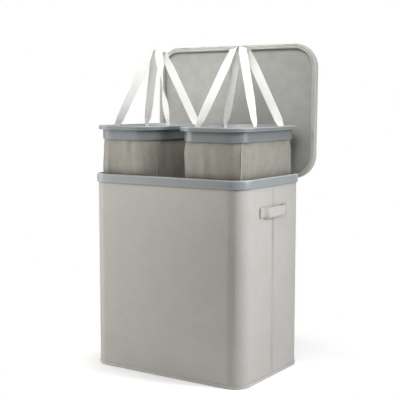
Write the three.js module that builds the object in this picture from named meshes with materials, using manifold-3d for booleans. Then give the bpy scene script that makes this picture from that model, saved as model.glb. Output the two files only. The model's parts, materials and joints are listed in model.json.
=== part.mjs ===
// Laundry hamper: a fabric-covered box with a hinged lid and two lift-out bags that hang on its rim.
// Millimetres. +X right, +Y back, +Z up. The origin is on the floor, under the middle of the box.
// The lid stands open and both bags are drawn part way up, with their carrying straps raised.
import * as THREE from 'three'
import { mergeVertices } from 'three/addons/utils/BufferGeometryUtils.js'
import Module from 'manifold-3d'

const wasm = await Module()
wasm.setup()

// Box: outside size over the fabric, and the layers of its wall from outside in
const bodyWidth = 538
const bodyDepth = 366
const bodyHeight = 600
const bodyCornerRadius = 50
const coverThickness = 1.2
const wallBoardThickness = 2.5
const liningThickness = 0.8
const layerGap = 0.3

// Floor of the box, from the ground up
const baseCoverThickness = 1.5
const baseBoardThickness = 4
const floorPanelThickness = 3

// Sewn trim on the box
const bindingHeight = 10
const bindingThickness = 1
const seamWidth = 3
const seamRelief = 0.8

// Plastic rim that caps the wall
const rimHeight = 26
const rimOuterLeg = 4.7
const rimInnerLeg = 1.6
const rimInnerLegHeight = 22
const rimWeb = 3
const rimEdgeRadius = 2
const rimInnerEdgeRadius = 1

// Side handles: flat ends sewn to the wall and a hand-sized bow between them
const handleLength = 160
const handleHeight = 30
const handleThickness = 2.6
const handleEndLength = 20
const handleBow = 22
const handleRimDrop = 59

// Lid: a padded border that hangs round the rim, and a thin panel recessed inside it
const lidSideClearance = 8
const lidBorderWidth = 14
const lidDrop = 2
const lidBoardThickness = 3
const lidRestClearance = 1.5
const lidOpenAngle = 91
const uprightAngle = 90

// Hinges behind the rim
const hingeSpan = 300
const hingeAxisBack = 11
const hingeAxisDrop = 10
const knuckleRadius = 4
const knuckleWidth = 16
const earWidth = 8
const earSideGap = 0.5
const hingePlateWidth = 54
const hingePlateThickness = 2.5
const hingePlateHeight = 19
const leafThickness = 2
const leafHeight = 26
const pinRadius = 2
const pinHeadRadius = 3.2
const pinHeadThickness = 1.5
const heelThickness = 6
const screwRadius = 1.5
const screwHeadRadius = 3
const screwHeadThickness = 1.6
const screwSpan = 43
const blockScrewLength = 6.4
const leafScrewLength = 9

// Bags: a plastic ring with an outward lip, and a fabric liner clamped inside it
const bagRaise = 135
const bagGap = 66
const bagSideInset = 2
const bagFitGap = 0.5
const bagLipHeight = 12
const bagLipEdgeRadius = 4
const bagLipCornerRadius = 70
const bagSkirtHeight = 30
const bagSkirtThickness = 3.9
const linerThickness = 1.6
const linerTopInset = 2
const linerFloorClearance = 10
const linerCornerRadius = 36
const linerBottomInset = 9
const linerBottomRadius = 12
const linerShoulderShare = 1 / 6
const linerWaistShare = 1 / 3
const linerWaistHeightShare = 1 / 3
const clampThickness = 2
const clampTopInset = 2
const clampHeight = 36
const basePadThickness = 3
const basePadClearance = 2

// Carrying straps: one loop on each long wall of each bag
const strapWidth = 25
const strapThickness = 1.6
const strapLegSpan = 156
const strapRise = 245
const strapApexRadius = 14
const strapMeetGap = 26
const strapHingeGap = 0.9
const strapTabLength = 32

// Overrun of every cutting tool past the faces it cuts
const cutOverrun = 1

// Counts of facets
const cornerSteps = 8
const edgeSteps = 3
const roundSides = 16
const bowSteps = 20
const apexSteps = 10

// Places worked out from the sizes above. Offsets count outward from the outside of the fabric
const boardOffset = -(coverThickness + layerGap)
const liningOffset = boardOffset - wallBoardThickness - layerGap
const wallInnerOffset = liningOffset - liningThickness
const rimOuterOffset = layerGap + rimOuterLeg
const rimInnerOffset = wallInnerOffset - layerGap - rimInnerLeg
const baseBoardBottom = baseCoverThickness + layerGap
const baseBoardTop = baseBoardBottom + baseBoardThickness
const wallBottom = baseBoardTop + layerGap
const wallTop = bodyHeight - rimWeb - layerGap
const floorTop = wallBottom + floorPanelThickness
const rimHalfDepth = bodyDepth / 2 + rimOuterOffset
const rimHalfWidth = bodyWidth / 2 + rimOuterOffset
const handleBottom = bodyHeight - rimHeight - handleRimDrop - handleHeight

const lidInnerOffset = rimOuterOffset + lidSideClearance
const lidOuterOffset = lidInnerOffset + lidBorderWidth
const lidFrameOffset = lidOuterOffset - coverThickness - layerGap
const lidBottom = bodyHeight - lidDrop
const lidLiningBottom = bodyHeight + bagLipHeight + lidRestClearance
const lidBoardBottom = lidLiningBottom + liningThickness + layerGap
const lidBoardTop = lidBoardBottom + lidBoardThickness
const lidTop = lidBoardTop + layerGap + coverThickness
const lidBack = bodyDepth / 2 + lidOuterOffset

const hingeY = rimHalfDepth + hingeAxisBack
const hingeZ = bodyHeight - hingeAxisDrop
const pinHoleRadius = pinRadius + layerGap
const screwHoleRadius = screwRadius + layerGap
const blockBack = rimHalfDepth + layerGap + hingePlateThickness
const heelSlant = heelThickness * Math.sin(THREE.MathUtils.degToRad(lidOpenAngle - uprightAngle))
const heelLength = hingeY - blockBack - layerGap - heelSlant
const leafFront = lidBack + layerGap
const leafBack = leafFront + leafThickness
const leafTop = hingeZ + leafHeight
const earOuter = knuckleWidth / 2 + earSideGap + earWidth

const bagLipHalfDepth = rimHalfDepth
const bagLipHalfWidth = (rimHalfWidth - bagSideInset - bagGap / 2) / 2
const bagCenterX = bagGap / 2 + bagLipHalfWidth
const bagLipOverhang = rimOuterOffset - rimInnerOffset + bagFitGap
const skirtHalfWidth = bagLipHalfWidth - bagLipOverhang
const skirtHalfDepth = bagLipHalfDepth - bagLipOverhang
const skirtRadius = bagLipCornerRadius - bagLipOverhang
const bagTop = bodyHeight + bagLipHeight + bagRaise
const linerOffset = -(bagSkirtThickness + layerGap)
const linerTop = bagTop - linerTopInset
const linerBottom = floorTop + linerFloorClearance + bagRaise
const linerWallBottom = linerBottom + linerThickness + layerGap
const linerFloorOffset = -(linerBottomInset + linerBottomRadius)
const clampOffset = linerOffset - linerThickness - layerGap
const clampTop = bagTop - clampTopInset
const tabOffset = clampOffset - clampThickness - layerGap
const strapPlane = skirtHalfWidth + tabOffset - strapThickness / 2
const strapAxisZ = bagTop + strapThickness / 2 + layerGap
const strapLean = Math.asin((strapPlane - strapMeetGap / 2) / strapRise)

// Materials: woven grey fabric, grey plastic, white webbing, board and steel
const finish = (color, roughness, metalness = 0) =>
  new THREE.MeshStandardMaterial({ color, roughness, metalness })
const bodyFabric = finish('#b4afa7', 0.9)
const bagFabric = finish('#989388', 0.9)
const liningFabric = finish('#a0a09c', 0.92)
const rimPlastic = finish('#99a0a2', 0.42)
const webbing = finish('#f0f0ee', 0.8)
const board = finish('#8c8274', 0.95)
const steel = finish('#b9bcc0', 0.35, 1)

const root = new THREE.Group()
const lid = new THREE.Group()

function addPiece(parent, name, geometry, material) {
  const piece = new THREE.Mesh(geometry, material)
  piece.name = name
  parent.add(piece)
  return piece
}

// Points of a rectangle with round corners, counter-clockwise from the right side
function roundedLoop(halfWidth, halfDepth, radius) {
  const points = []
  const corners = [[1, -1], [1, 1], [-1, 1], [-1, -1]]
  corners.forEach(([sideX, sideY], quarter) => {
    for (let step = 0; step <= cornerSteps; step++) {
      const angle = (quarter - 1 + step / cornerSteps) * Math.PI / 2
      points.push([
        sideX * (halfWidth - radius) + radius * Math.cos(angle),
        sideY * (halfDepth - radius) + radius * Math.sin(angle),
      ])
    }
  })
  return points
}

// Joins loops with equal point counts into one closed skin. Without ends, the last loop meets the first
function skin(loops, closedEnds) {
  const count = loops[0].length
  const rows = loops.length
  const position = loops.flat(2)
  const index = []
  const joins = closedEnds ? rows - 1 : rows
  for (let row = 0; row < joins; row++) {
    const next = (row + 1) % rows
    for (let step = 0; step < count; step++) {
      const after = (step + 1) % count
      const [a, b] = [row * count + step, row * count + after]
      const [c, d] = [next * count + step, next * count + after]
      index.push(a, b, d, a, d, c)
    }
  }
  if (closedEnds) {
    for (const [row, first] of [[0, true], [rows - 1, false]]) {
      const flat = loops[row].map(([x, y]) => new THREE.Vector2(x, y))
      for (const [a, b, c] of THREE.ShapeUtils.triangulateShape(flat, [])) {
        const base = row * count
        if (first) index.push(base + c, base + b, base + a)
        else index.push(base + a, base + b, base + c)
      }
    }
  }
  const geometry = new THREE.BufferGeometry()
  geometry.setAttribute('position', new THREE.Float32BufferAttribute(position, 3))
  geometry.setIndex(index)
  geometry.computeVertexNormals()
  return geometry
}

// A closed section [offset, z], counter-clockwise with the outside on the right, carried round a rectangle
function band(section, halfWidth, halfDepth, radius) {
  const loops = section.map(([offset, z]) =>
    roundedLoop(halfWidth + offset, halfDepth + offset, radius + offset).map(([x, y]) => [x, y, z]))
  return skin(loops, false)
}

function bodyBand(section) {
  return band(section, bodyWidth / 2, bodyDepth / 2, bodyCornerRadius)
}

// A plain wall between two offsets and two heights
function wallSection(inner, outer, bottom, top) {
  return [[inner, bottom], [outer, bottom], [outer, top], [inner, top]]
}

// A flat sheet with round corners
function sheet(halfWidth, halfDepth, radius, bottom, top) {
  const loop = roundedLoop(halfWidth, halfDepth, radius)
  return skin([bottom, top].map((z) => loop.map(([x, y]) => [x, y, z])), true)
}

function bodySheet(offset, bottom, top) {
  return sheet(bodyWidth / 2 + offset, bodyDepth / 2 + offset, bodyCornerRadius + offset, bottom, top)
}

// Round edge of a section, from one direction to the next, about a centre
function edgeArc(centerOffset, centerZ, radius, fromAngle, toAngle) {
  const points = []
  for (let step = 0; step <= edgeSteps; step++) {
    const angle = THREE.MathUtils.degToRad(fromAngle + (toAngle - fromAngle) * step / edgeSteps)
    points.push([centerOffset + radius * Math.cos(angle), centerZ + radius * Math.sin(angle)])
  }
  return points
}

function block(sizeX, sizeY, sizeZ, x, y, z) {
  return new THREE.BoxGeometry(sizeX, sizeY, sizeZ).translate(x, y, z)
}

// A prism along X whose outline is drawn in Y and Z
function prismAlongX(shape, width, centerX) {
  const settings = { depth: width, bevelEnabled: false, curveSegments: roundSides }
  const geometry = new THREE.ExtrudeGeometry(shape, settings)
  const turn = new THREE.Matrix4().makeBasis(
    new THREE.Vector3(0, 1, 0), new THREE.Vector3(0, 0, 1), new THREE.Vector3(1, 0, 0))
  return geometry.applyMatrix4(turn).translate(centerX - width / 2, 0, 0)
}

// A rod along Y that ends at two places
function rodAlongY(radius, fromY, toY, x, z) {
  return new THREE.CylinderGeometry(radius, radius, toY - fromY, roundSides)
    .translate(x, (fromY + toY) / 2, z)
}

// Boolean work on closed meshes
function toSolid(geometry) {
  const plain = geometry.index ? geometry.clone() : geometry
  plain.deleteAttribute('normal')
  plain.deleteAttribute('uv')
  const merged = mergeVertices(plain)
  return new wasm.Manifold(new wasm.Mesh({
    numProp: 3,
    vertProperties: new Float32Array(merged.attributes.position.array),
    triVerts: new Uint32Array(merged.index.array),
  }))
}

function fromSolid(solid) {
  const mesh = solid.getMesh()
  const geometry = new THREE.BufferGeometry()
  geometry.setAttribute('position', new THREE.BufferAttribute(mesh.vertProperties, 3))
  geometry.setIndex(new THREE.BufferAttribute(mesh.triVerts, 1))
  geometry.computeVertexNormals()
  return geometry
}

function joinAll(geometries) {
  return fromSolid(geometries.map(toSolid).reduce((whole, next) => whole.add(next)))
}

function cutAll(geometry, tools) {
  return fromSolid(tools.map(toSolid).reduce((whole, tool) => whole.subtract(tool), toSolid(geometry)))
}

const sides = [['left', -1], ['right', 1]]
const screwPlaces = sides.flatMap(([hinge, side]) =>
  [['inner', -1], ['outer', 1]].map(([place, way]) =>
    ({ hinge, place, x: side * (hingeSpan / 2 + way * screwSpan / 2) })))
const blockScrewZ = bodyHeight - rimHeight / 2
const leafScrewZ = (lidBottom + lidLiningBottom) / 2

// Box: floor, layered wall, sewn trim and rim
function addBody() {
  addPiece(root, 'base_cover', bodySheet(0, 0, baseCoverThickness), bodyFabric)
  addPiece(root, 'base_board', bodySheet(boardOffset, baseBoardBottom, baseBoardTop), board)
  addPiece(root, 'floor_panel', bodySheet(wallInnerOffset - layerGap, wallBottom, floorTop), liningFabric)
  addPiece(root, 'wall_board',
    bodyBand(wallSection(boardOffset - wallBoardThickness, boardOffset, wallBottom, wallTop)), board)
  addPiece(root, 'outer_cover',
    bodyBand(wallSection(-coverThickness, 0, baseBoardBottom, wallTop)), bodyFabric)
  addPiece(root, 'inner_lining',
    bodyBand(wallSection(wallInnerOffset, liningOffset, wallBottom, wallTop)), liningFabric)
  addPiece(root, 'bottom_binding',
    bodyBand(wallSection(layerGap, layerGap + bindingThickness, layerGap, bindingHeight)), bodyFabric)

  const rimBottom = bodyHeight - rimHeight
  const innerLegBottom = bodyHeight - rimInnerLegHeight
  const edgeZ = bodyHeight - rimEdgeRadius
  const legOffset = rimInnerOffset + rimInnerLeg
  const rimSection = [
    [layerGap, rimBottom],
    [rimOuterOffset, rimBottom],
    ...edgeArc(rimOuterOffset - rimEdgeRadius, edgeZ, rimEdgeRadius, 0, 90),
    ...edgeArc(rimInnerOffset + rimInnerEdgeRadius, bodyHeight - rimInnerEdgeRadius,
      rimInnerEdgeRadius, 90, 180),
    [rimInnerOffset, innerLegBottom],
    [legOffset, innerLegBottom],
    [legOffset, bodyHeight - rimWeb],
    [layerGap, bodyHeight - rimWeb],
  ]
  const screwHoles = screwPlaces.map(({ x }) => rodAlongY(
    screwHoleRadius, bodyDepth / 2 - coverThickness, rimHalfDepth + cutOverrun, x, blockScrewZ))
  addPiece(root, 'body_rim', cutAll(bodyBand(rimSection), screwHoles), rimPlastic)

  const seamBottom = bindingHeight + layerGap
  const seamTop = rimBottom - layerGap
  for (const [name, side] of sides) {
    addPiece(root, `side_seam_${name}`, block(seamRelief, seamWidth, seamTop - seamBottom,
      side * (bodyWidth / 2 + layerGap + seamRelief / 2), 0, (seamBottom + seamTop) / 2), bodyFabric)
  }
}

// One side handle: a ribbon with flat sewn ends and a smooth bow between them
function handleGeometry(side) {
  const wallX = bodyWidth / 2 + layerGap
  const freeHalf = handleLength / 2 - handleEndLength
  const middle = [[-handleLength / 2, 0]]
  for (let step = 0; step <= bowSteps; step++) {
    const y = freeHalf * (2 * step / bowSteps - 1)
    middle.push([y, handleBow * Math.cos(y / freeHalf * Math.PI / 2) ** 2])
  }
  middle.push([handleLength / 2, 0])
  const normalAt = (place) => {
    const before = middle[Math.max(place - 1, 0)]
    const after = middle[Math.min(place + 1, middle.length - 1)]
    return new THREE.Vector2(before[1] - after[1], after[0] - before[0]).normalize()
  }
  const offsetBy = (distance) => middle.map(([y, out], place) => {
    const normal = normalAt(place)
    const middleX = wallX + handleThickness / 2 + out
    return new THREE.Vector2(middleX + normal.y * distance, y + normal.x * distance)
  })
  const outline = [...offsetBy(handleThickness / 2), ...offsetBy(-handleThickness / 2).reverse()]
  const shape = new THREE.Shape(outline.map(({ x, y }) => new THREE.Vector2(side * x, y)))
  return new THREE.ExtrudeGeometry(shape, { depth: handleHeight, bevelEnabled: false })
    .translate(0, 0, handleBottom)
}

function addSideHandles() {
  for (const [name, side] of sides) addPiece(root, `side_handle_${name}`, handleGeometry(side), bodyFabric)
}

// A screw whose head seats at seatY and whose shank points to the front
function screwGeometry(x, seatY, z, length) {
  const head = rodAlongY(screwHeadRadius, seatY, seatY + screwHeadThickness, x, z)
  return joinAll([head, rodAlongY(screwRadius, seatY - length, seatY + screwHeadThickness / 2, x, z)])
}

// Outline of a hinge arm in Y and Z: a round knuckle about the pin, with a straight tail to backY
function knuckleShape(backY, tailDirection) {
  const shape = new THREE.Shape()
  const start = tailDirection > 0 ? Math.PI / 2 : -Math.PI / 2
  shape.moveTo(backY, hingeZ + tailDirection * knuckleRadius)
  shape.absarc(hingeY, hingeZ, knuckleRadius, start, start + Math.PI, false)
  shape.lineTo(backY, hingeZ - tailDirection * knuckleRadius)
  shape.closePath()
  return shape
}

function addHinges() {
  const pinHole = (x) => new THREE.CylinderGeometry(
    pinHoleRadius, pinHoleRadius, 2 * (earOuter + cutOverrun), roundSides)
    .rotateZ(Math.PI / 2).translate(x, hingeY, hingeZ)
  const plateFront = rimHalfDepth + layerGap
  const pinSeat = earOuter + layerGap
  const pinProfile = [
    [0, -pinSeat - pinHeadThickness],
    [pinHeadRadius, -pinSeat - pinHeadThickness],
    [pinHeadRadius, -pinSeat],
    [pinRadius, -pinSeat],
    [pinRadius, pinSeat],
    [pinHeadRadius, pinSeat],
    [pinHeadRadius, pinSeat + pinHeadThickness],
    [0, pinSeat + pinHeadThickness],
  ].map(([radius, along]) => new THREE.Vector2(radius, along))

  for (const [name, side] of sides) {
    const x = side * hingeSpan / 2
    const screws = screwPlaces.filter(({ hinge }) => hinge === name)

    const plate = block(hingePlateWidth, hingePlateThickness, hingePlateHeight,
      x, plateFront + hingePlateThickness / 2, blockScrewZ)
    const knuckle = prismAlongX(knuckleShape(plateFront, -1), knuckleWidth, x)
    const plateHoles = screws.map((screw) => rodAlongY(
      screwHoleRadius, plateFront - cutOverrun, blockBack + cutOverrun, screw.x, blockScrewZ))
    const blockBody = cutAll(joinAll([plate, knuckle]), [pinHole(x), ...plateHoles])
    addPiece(root, `hinge_block_${name}`, blockBody, rimPlastic)

    const pin = new THREE.LatheGeometry(pinProfile, roundSides)
      .rotateZ(Math.PI / 2).translate(x, hingeY, hingeZ)
    addPiece(root, `hinge_pin_${name}`, pin, steel)

    const leafPlate = block(hingePlateWidth, leafThickness, leafTop - hingeZ + knuckleRadius,
      x, leafFront + leafThickness / 2, (leafTop + hingeZ - knuckleRadius) / 2)
    const ears = [-1, 1].flatMap((way) => {
      const earX = x + way * (earOuter - earWidth / 2)
      const heel = block(
        earWidth, heelThickness, heelLength, earX, hingeY + heelThickness / 2, hingeZ - heelLength / 2)
      return [prismAlongX(knuckleShape(leafBack, 1), earWidth, earX), heel]
    })
    const leafHoles = screws.map((screw) => rodAlongY(
      screwHoleRadius, leafFront - cutOverrun, leafBack + cutOverrun, screw.x, leafScrewZ))
    const leafBody = cutAll(joinAll([leafPlate, ...ears]), [pinHole(x), ...leafHoles])
    addPiece(lid, `hinge_leaf_${name}`, leafBody, rimPlastic)
  }
  for (const { hinge, place, x } of screwPlaces) {
    addPiece(root, `block_screw_${hinge}_${place}`,
      screwGeometry(x, blockBack + layerGap, blockScrewZ, blockScrewLength), steel)
    addPiece(lid, `leaf_screw_${hinge}_${place}`,
      screwGeometry(x, leafBack + layerGap, leafScrewZ, leafScrewLength), steel)
  }
}

// Lid, drawn closed; its group swings it open about the hinge pins
function addLid() {
  const holeFront = leafBack - leafScrewLength - cutOverrun
  const holes = () => screwPlaces.map(({ x }) =>
    rodAlongY(screwHoleRadius, holeFront, lidBack + cutOverrun, x, leafScrewZ))
  const frame = bodyBand(wallSection(lidInnerOffset, lidFrameOffset, lidBottom, lidBoardBottom - layerGap))
  addPiece(lid, 'lid_frame', cutAll(frame, holes()), bodyFabric)
  addPiece(lid, 'lid_board', bodySheet(lidFrameOffset, lidBoardBottom, lidBoardTop), board)
  addPiece(lid, 'lid_lining',
    bodySheet(lidInnerOffset - layerGap, lidLiningBottom, lidLiningBottom + liningThickness), liningFabric)

  const coverSections = [
    [lidOuterOffset - coverThickness, lidBoardTop + layerGap],
    [lidOuterOffset - coverThickness, lidBottom],
    [lidOuterOffset, lidBottom],
    [lidOuterOffset, lidTop],
  ]
  const loops = coverSections.map(([offset, z]) => roundedLoop(
    bodyWidth / 2 + offset, bodyDepth / 2 + offset, bodyCornerRadius + offset).map(([x, y]) => [x, y, z]))
  addPiece(lid, 'lid_cover', cutAll(skin(loops, true), holes()), bodyFabric)
}

// One of the four panels of the liner wall, sewn to the next at the middle of each corner. The wall swells
// to the skirt's face in front and behind, and draws in at its sides and floor
function linerPanelGeometry(firstCorner) {
  const waistZ = linerBottom + (linerTop - linerBottom) * linerWaistHeightShare
  const skirtBottom = bagTop - bagLipHeight - bagSkirtHeight
  const rimBottom = bodyHeight - rimHeight
  const clampedRadius = skirtRadius + linerOffset
  const outside = [
    { z: linerTop, across: linerOffset, along: linerOffset, radius: clampedRadius },
    { z: skirtBottom, across: linerOffset, along: linerOffset, radius: clampedRadius },
    { z: bodyHeight + rimHeight, across: linerOffset, along: linerOffset * linerShoulderShare },
    { z: bodyHeight, across: linerOffset, along: 0 },
    { z: rimBottom, across: linerOffset, along: 0 },
    { z: waistZ, across: linerOffset, along: linerOffset * linerWaistShare },
    { z: linerBottom + linerBottomRadius, across: -linerBottomInset, along: -linerBottomInset },
    { z: linerWallBottom, across: linerFloorOffset, along: linerFloorOffset },
  ]
  const panelStep = cornerSteps / 2
  const startTurn = (firstCorner - 1 / 2) * Math.PI / 2
  const edgeAt = ({ z, across, along, radius = linerCornerRadius }, inset) => {
    const loop = roundedLoop(skirtHalfWidth + across - inset, skirtHalfDepth + along - inset, radius - inset)
    const first = firstCorner * (cornerSteps + 1) + panelStep
    const points = []
    for (let step = 0; step <= cornerSteps + 1; step++) {
      points.push([...loop[(first + step) % loop.length], z])
    }
    const ends = [[points[0], startTurn, 1], [points.at(-1), startTurn + Math.PI / 2, -1]]
    for (const [point, turn, way] of ends) {
      point[0] -= way * Math.sin(turn) * layerGap / 2
      point[1] += way * Math.cos(turn) * layerGap / 2
    }
    return points
  }
  const rows = outside.map((section) => [...edgeAt(section, 0), ...edgeAt(section, linerThickness).reverse()])
  return skin(rows.reverse(), true)
}

// One strap loop: two straight legs that lean together into a round top, flat in one plane
function strapGeometry() {
  const halfSpan = strapLegSpan / 2
  const apexHeight = strapRise - strapApexRadius - strapWidth / 2
  const reach = Math.hypot(halfSpan, apexHeight)
  const legTurn = Math.atan2(halfSpan, apexHeight) - Math.asin(strapApexRadius / reach)
  const edge = (distance) => {
    const radius = strapApexRadius + distance
    const footY = halfSpan + distance / Math.cos(legTurn)
    const points = [new THREE.Vector2(footY, 0)]
    for (let step = 0; step <= apexSteps; step++) {
      const angle = legTurn + (Math.PI - 2 * legTurn) * step / apexSteps
      points.push(new THREE.Vector2(radius * Math.cos(angle), apexHeight + radius * Math.sin(angle)))
    }
    points.push(new THREE.Vector2(-footY, 0))
    return points
  }
  const shape = new THREE.Shape([...edge(strapWidth / 2), ...edge(-strapWidth / 2).reverse()])
  return prismAlongX(shape, strapThickness, 0)
}

function bagRimGeometry() {
  const lipBottom = bagTop - bagLipHeight
  const skirtBottom = lipBottom - bagSkirtHeight
  const section = [
    [-bagSkirtThickness, skirtBottom],
    [0, skirtBottom],
    [0, lipBottom],
    [bagLipOverhang, lipBottom],
    ...edgeArc(bagLipOverhang - bagLipEdgeRadius, bagTop - bagLipEdgeRadius, bagLipEdgeRadius, 0, 90),
    [-bagSkirtThickness, bagTop],
  ]
  return band(section, skirtHalfWidth, skirtHalfDepth, skirtRadius)
}

function addBag(name, side) {
  const bag = new THREE.Group()
  bag.position.x = side * bagCenterX
  root.add(bag)
  addPiece(bag, `bag_rim_${name}`, bagRimGeometry(), rimPlastic)
  const panels = side > 0 ? ['outer', 'back', 'inner', 'front'] : ['inner', 'back', 'outer', 'front']
  panels.forEach((panel, firstCorner) => {
    addPiece(bag, `bag_liner_${name}_${panel}`, linerPanelGeometry(firstCorner), bagFabric)
  })
  addPiece(bag, `clamp_ring_${name}`, band(
    wallSection(clampOffset - clampThickness, clampOffset, clampTop - clampHeight, clampTop),
    skirtHalfWidth, skirtHalfDepth, skirtRadius), rimPlastic)

  addPiece(bag, `liner_floor_${name}`, sheet(
    skirtHalfWidth + linerFloorOffset, skirtHalfDepth + linerFloorOffset,
    linerCornerRadius, linerBottom, linerBottom + linerThickness), bagFabric)
  const padOffset = linerFloorOffset - linerThickness - basePadClearance
  addPiece(bag, `base_pad_${name}`, sheet(skirtHalfWidth + padOffset, skirtHalfDepth + padOffset,
    linerCornerRadius - linerThickness, linerWallBottom, linerWallBottom + basePadThickness), board)

  for (const [wall, way] of [['outer', side], ['inner', -side]]) {
    const hinge = new THREE.Group()
    hinge.position.set(way * strapPlane, 0, strapAxisZ)
    bag.add(hinge)
    for (const [end, back] of [['front', -1], ['back', 1]]) {
      addPiece(hinge, `strap_tab_${name}_${wall}_${end}`, block(strapThickness, strapWidth, strapTabLength,
        0, back * strapLegSpan / 2, -strapHingeGap - strapTabLength / 2), webbing)
    }
    const loop = addPiece(hinge, `strap_${name}_${wall}`, strapGeometry(), webbing)
    loop.rotation.y = -way * strapLean
  }
}

addBody()
addSideHandles()
addHinges()
addLid()
for (const [name, side] of sides) addBag(name, side)

lid.position.set(0, hingeY, hingeZ)
lid.rotation.x = -THREE.MathUtils.degToRad(lidOpenAngle)
for (const piece of lid.children) piece.position.set(0, -hingeY, -hingeZ)
root.add(lid)

export default root
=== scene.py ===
# Dresses the laundry hamper: cloth, plastic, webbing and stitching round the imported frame.
# Blender units are metres; sizes below are millimetres times mm.
import json
import math

import bpy
import numpy as np
from mathutils import Matrix, Vector


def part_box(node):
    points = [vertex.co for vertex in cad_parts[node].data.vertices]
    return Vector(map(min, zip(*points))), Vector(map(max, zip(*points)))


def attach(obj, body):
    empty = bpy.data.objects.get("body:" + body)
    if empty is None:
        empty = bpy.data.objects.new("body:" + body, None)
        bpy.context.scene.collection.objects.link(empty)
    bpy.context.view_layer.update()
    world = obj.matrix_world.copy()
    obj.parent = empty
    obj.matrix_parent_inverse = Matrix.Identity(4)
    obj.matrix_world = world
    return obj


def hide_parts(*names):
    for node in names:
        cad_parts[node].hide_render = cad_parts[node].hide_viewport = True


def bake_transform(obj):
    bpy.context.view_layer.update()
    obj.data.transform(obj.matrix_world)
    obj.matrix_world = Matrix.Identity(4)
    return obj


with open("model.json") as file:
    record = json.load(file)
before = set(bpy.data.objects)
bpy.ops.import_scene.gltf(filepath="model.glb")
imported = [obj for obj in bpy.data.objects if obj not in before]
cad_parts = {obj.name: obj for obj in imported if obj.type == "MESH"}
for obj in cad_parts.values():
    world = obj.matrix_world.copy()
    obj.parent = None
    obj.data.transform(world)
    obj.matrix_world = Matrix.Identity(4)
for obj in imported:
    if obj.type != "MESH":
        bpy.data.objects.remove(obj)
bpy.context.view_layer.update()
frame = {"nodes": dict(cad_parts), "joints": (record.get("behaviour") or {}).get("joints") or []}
mm = 0.001
sides = {"left": -1, "right": 1}
# corners counter-clockwise from the front right one, as the signs of their X and Y
corners = {"frontRight": (1, -1), "backRight": (1, 1), "backLeft": (-1, 1), "frontLeft": (-1, -1)}
print("frame loaded,", len(frame["nodes"]), "nodes")

# Camera, at the angle from which the hamper is seen
view = {
    "azimuth": 33.43,
    "elevation": 6.26,
    "distance": 2809.8 * mm,
    "target": (10.46 * mm, 0, 516.1 * mm),
    "frameWidth": 400,
    "focalPixels": 906.4,
    "sensorWidth": 36,
}


def makeCamera():
    turn, rise = math.radians(view["azimuth"]), math.radians(view["elevation"])
    back = Vector((math.sin(turn) * math.cos(rise), -math.cos(turn) * math.cos(rise), math.sin(rise)))
    camera = bpy.data.objects.new("camera", bpy.data.cameras.new("camera"))
    camera.data.sensor_width = view["sensorWidth"]
    camera.data.lens = view["focalPixels"] / view["frameWidth"] * view["sensorWidth"]
    camera.location = Vector(view["target"]) + back * view["distance"]
    camera.rotation_euler = (-back).to_track_quat("-Z", "Y").to_euler()
    bpy.context.scene.collection.objects.link(camera)
    bpy.context.scene.camera = camera


makeCamera()


# Colour and node helpers
def toLinear(hexColour):
    channels = [int(hexColour[start:start + 2], 16) / 255 for start in (1, 3, 5)]
    return [c / 12.92 if c <= 0.04045 else ((c + 0.055) / 1.055) ** 2.4 for c in channels] + [1.0]


def addNode(tree, kind, settings=None, links=None):
    # A setting is a socket's value, a socket's hex colour, or else a choice on the node itself
    node = tree.nodes.new("ShaderNode" + kind)
    for name, value in (settings or {}).items():
        if isinstance(value, str) and value.startswith("#"):
            node.inputs[name].default_value = toLinear(value)
        elif isinstance(name, int) or name in node.inputs:
            node.inputs[name].default_value = value
        else:
            setattr(node, name, value)
    for name, source in (links or {}).items():
        tree.links.new(source, node.inputs[name])
    return node


def startMaterial(name):
    material = bpy.data.materials.new(name)
    material.use_nodes = True
    tree = material.node_tree
    tree.nodes.clear()
    return material, tree


def finishMaterial(tree, colour, rough, relief, settings=None):
    # Every finish ends alike: its relief as (height, strength, depth), its shader and the output
    height, strength, depth = relief
    bump = addNode(tree, "Bump", {"Strength": strength, "Distance": depth}, {"Height": height})
    shader = addNode(tree, "BsdfPrincipled", settings, {
        "Base Color": colour, "Roughness": rough, "Normal": bump.outputs[0]})
    addNode(tree, "OutputMaterial", None, {"Surface": shader.outputs[0]})


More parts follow.
